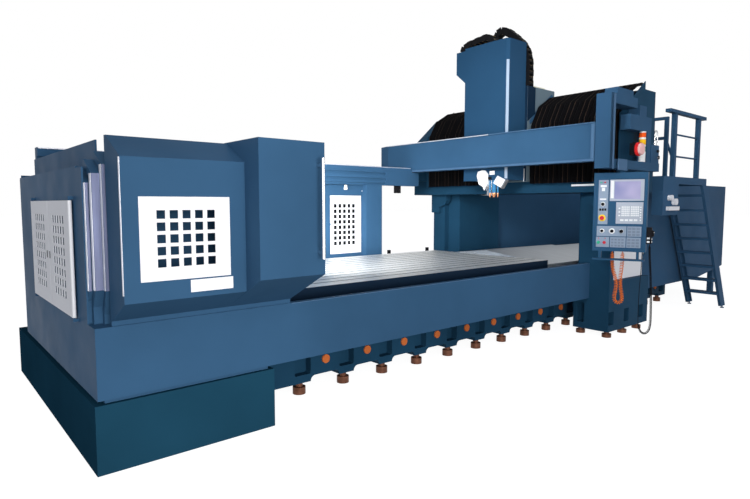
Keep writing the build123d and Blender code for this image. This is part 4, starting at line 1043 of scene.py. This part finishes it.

# %% [markdown]
# Small fittings finish the doors: a dark recessed pull on each end door, and a ring pull on the far
# door. Behind the sheet of each door lies a dark plate, painted shade for the dark inside behind its
# holes. Each set rides its own door.

# %% Door fittings
# Black for small fittings, and painted shade: dark plates behind and in the ventilation holes, where the
# inside lies in shade.
black_and_painted_shade = enamel("black_fittings_and_painted_shade", (0.012, 0.012, 0.014), 0.3, 0.8, 0.6)
for door, pull_y in (("end_door_near", -0.216), ("end_door_far", -0.108)):
    door_low, door_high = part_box(door)
    trim(door + "_pull", [
        ((door_low.x - 0.003, pull_y - 0.007, 1.449), (door_low.x - gap, pull_y + 0.007, 1.508)),
        # The plate behind the sheet is painted shade for the dark behind the holes.
        ((door_high.x - 0.0077, door_low.y + 0.16, 1.110),
         (door_high.x - 0.0047, door_high.y - 0.16, 1.875)),
    ], [black_and_painted_shade], door, bevel=0.0)
vent_door_low, vent_door_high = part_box("far_vent_door")
bm = bmesh.new()
# A dark plate behind the far door's holes, painted shade.
slab(bm, (vent_door_low.x + 0.06, vent_door_high.y + gap, vent_door_low.z + 0.06),
     (vent_door_high.x - 0.08, vent_door_high.y + 0.004, vent_door_high.z - 0.06))
turned(bm, [(0.028, 0.0003), (0.030, 0.004), (0.022, 0.008), (0.018, 0.003)],
       facing_front(-1.879, vent_door_low.y, 1.587), 1, 28)
finished("far_door_fittings", bm, [black_and_painted_shade, handle_chrome], "far_vent_door")
print("door fittings done")

# %% [markdown]
# By the doorway hang a small work lamp on its stem and a pair of blocks with a link between them,
# and two stops stand on the sill. All of them are fixed to the frame, so they are one piece.

# %% Doorway fittings
wall_face = 1.388
rail_low = 2.195
sill_top = 1.0503
bm = bmesh.new()
work_lamp = Matrix.Translation((-1.600, wall_face - 0.030, 2.150))
turned(bm, [(0.010, 0.040), (0.022, 0.036), (0.024, 0.010), (0.030, -0.012), (0.026, -0.036)],
       work_lamp, 1, 24)
slab(bm, (-1.612, wall_face - 0.034, 2.176), (-1.588, wall_face - gap, rail_low), 0)
turned(bm, [(0.010, 0.0003), (0.008, 0.008)], facing_front(-1.253, wall_face, 2.101), 1, 16)
for block_x in (-0.592, -0.520):
    slab(bm, (block_x, 1.320, 2.075), (block_x + 0.040, 1.372, rail_low - gap), 0)
slab(bm, (-0.552, 1.330, 2.120), (-0.520, 1.365, 2.140), 0)
for stop_x in (-0.678, 0.220):
    slab(bm, (stop_x - 0.022, 1.368, sill_top), (stop_x + 0.022, 1.412, 1.136), 0)
finished("doorway_fittings", bm, [black_and_painted_shade, signal_white], "frame", bevel=0.002)
print("doorway fittings under", rail_low)

# %% [markdown]
# The switch box beside the tower has a round switch, a small lever and a steel eye for lifting. The
# eye is a rod bent to an arch on two straight legs, so it is swept along its own line.

# %% Switch box fittings
box_face = tower_low.y + 0.010
eye_place = Vector((1.085, box_face + 0.055, 2.6903))
eye_half_width = 0.042
eye_leg = 0.155
eye_rise = 0.048
eye_rod = 0.009
bm = bmesh.new()
turned(bm, [(0.020, 0.0003), (0.020, 0.010), (0.014, 0.014), (0.014, 0.022)],
       facing_front(1.010, box_face, 2.605), 0, 24)
slab(bm, (1.030, box_face - 0.020, 2.500), (1.048, box_face - gap, 2.545), 0)
slab(bm, (1.000, box_face - 0.014, 2.515), (1.030, box_face - 0.004, 2.527), 1)
for side in (-eye_half_width, eye_half_width):
    swept(bm, [eye_place + Vector((side, 0, 0)), eye_place + Vector((side, 0, eye_leg))],
          eye_rod, 1, 12)
arch_angles = [math.pi * i / 12 for i in range(13)]
arch = [eye_place + Vector((eye_half_width * math.cos(a), 0, eye_leg + eye_rise * math.sin(a)))
        for a in arch_angles]
swept(bm, arch, eye_rod, 1, 12)
finished("switch_fittings", bm, [knob_black, spindle_steel], "frame", smooth=True)
print("eye up to", round(eye_place.z + eye_leg + eye_rise, 3))

# %% [markdown]
# Each ventilation hole holds a dark plate, painted shade for the dark inside behind it, so a hole reads
# black from the front. The plate fills the hole a few millimetres behind the face. The holes' places are
# worked out from the same pitch as the sheet's, and each set of plates rides its own door.

# %% Painted shade in the holes
vent_pitch = (0.088, 0.082)
vent_columns = 5
vent_rows = 8
hole_shade_half = 0.0287
# Painted shade, blue-grey, for the holes of the end doors.
hole_shade_blue = enamel("end_hole_painted_shade", (0.060, 0.085, 0.120), 0.2, 0.8, 0.4)


def hole_places(centre):
    """Centres of the holes in a panel, across and up."""
    for column in range(vent_columns):
        for row in range(vent_rows):
            yield (centre[0] + (column - (vent_columns - 1) / 2) * vent_pitch[0],
                   centre[1] + (row - (vent_rows - 1) / 2) * vent_pitch[1])


for door, middle in (("end_door_near", -0.556), ("end_door_far", 0.196)):
    door_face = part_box(door)[0].x
    hole_shades = [((door_face + 0.006, y - hole_shade_half, z - hole_shade_half),
             (door_face + 0.009, y + hole_shade_half, z + hole_shade_half)) for y, z in hole_places((middle, 1.4925))]
    trim(door + "_hole_shades", hole_shades, [hole_shade_blue], door, bevel=0.0)
# The far door and panel take black painted shade in their holes.
far_sets = [
    ("far_door_hole_shades", -1.5825, vent_door_low.y + 0.006, vent_door_low.y + 0.009, "far_vent_door"),
    ("far_panel_hole_shades", -3.965, 1.3895, 1.3920, "frame"),
]
for set_name, middle, front, back, body in far_sets:
    hole_shades = [((x - hole_shade_half, front, z - hole_shade_half), (x + hole_shade_half, back, z + hole_shade_half))
            for x, z in hole_places((middle, 1.581))]
    trim(set_name, hole_shades, [black_and_painted_shade], body, bevel=0.0)
print("mats in each panel", len(hole_shades))

# %% [markdown]
# The ram's front corner is a narrow chamfer that catches the light, and the far rail and the near tray
# end in a folded edge that catches it too. Each is a painted highlight, laid on as a thin pale strip
# along that edge.

# %% Painted highlights on the edges
# Painted highlight for the ram's chamfer.
ram_highlight_strip = enamel("ram_painted_highlight", (0.36, 0.44, 0.54), 0.15, 0.3, 0.05)
ram_low, ram_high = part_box("ram")
chamfer = 0.040
front_end = Vector((ram_low.x + chamfer - 0.006, ram_low.y + 0.006, 0))
left_end = Vector((ram_low.x + 0.006, ram_low.y + chamfer - 0.006, 0))
off_corner = Vector((-1, -1, 0)).normalized()
strip_section = [front_end + off_corner * gap, left_end + off_corner * gap,
                 left_end + off_corner * 0.003, front_end + off_corner * 0.003]
bm = bmesh.new()
skinned(bm, [[bm.verts.new((corner.x, corner.y, level)) for corner in strip_section]
             for level in (ram_low.z + 0.02, ram_high.z - 0.30)])
finished("ram_highlight_strip", bm, [ram_highlight_strip], "ram")
far_guard_low, far_guard_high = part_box("far_guard")
tray_low, tray_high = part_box("side_trays")
trim("far_rail_edge", [((-5.690, far_guard_low.y - 0.003, far_guard_high.z - 0.012),
                        (-0.300, far_guard_low.y - gap, far_guard_high.z))],
     [highlight_strip_metal], "frame")
trim("tray_edge", [((-4.290, tray_low.y - 0.003, tray_high.z - 0.008),
                    (0.640, tray_low.y - gap, tray_high.z))], [painted_edge_highlight], "frame")
print("edges: ram from", round(ram_low.z, 3), "to", round(ram_high.z, 3))
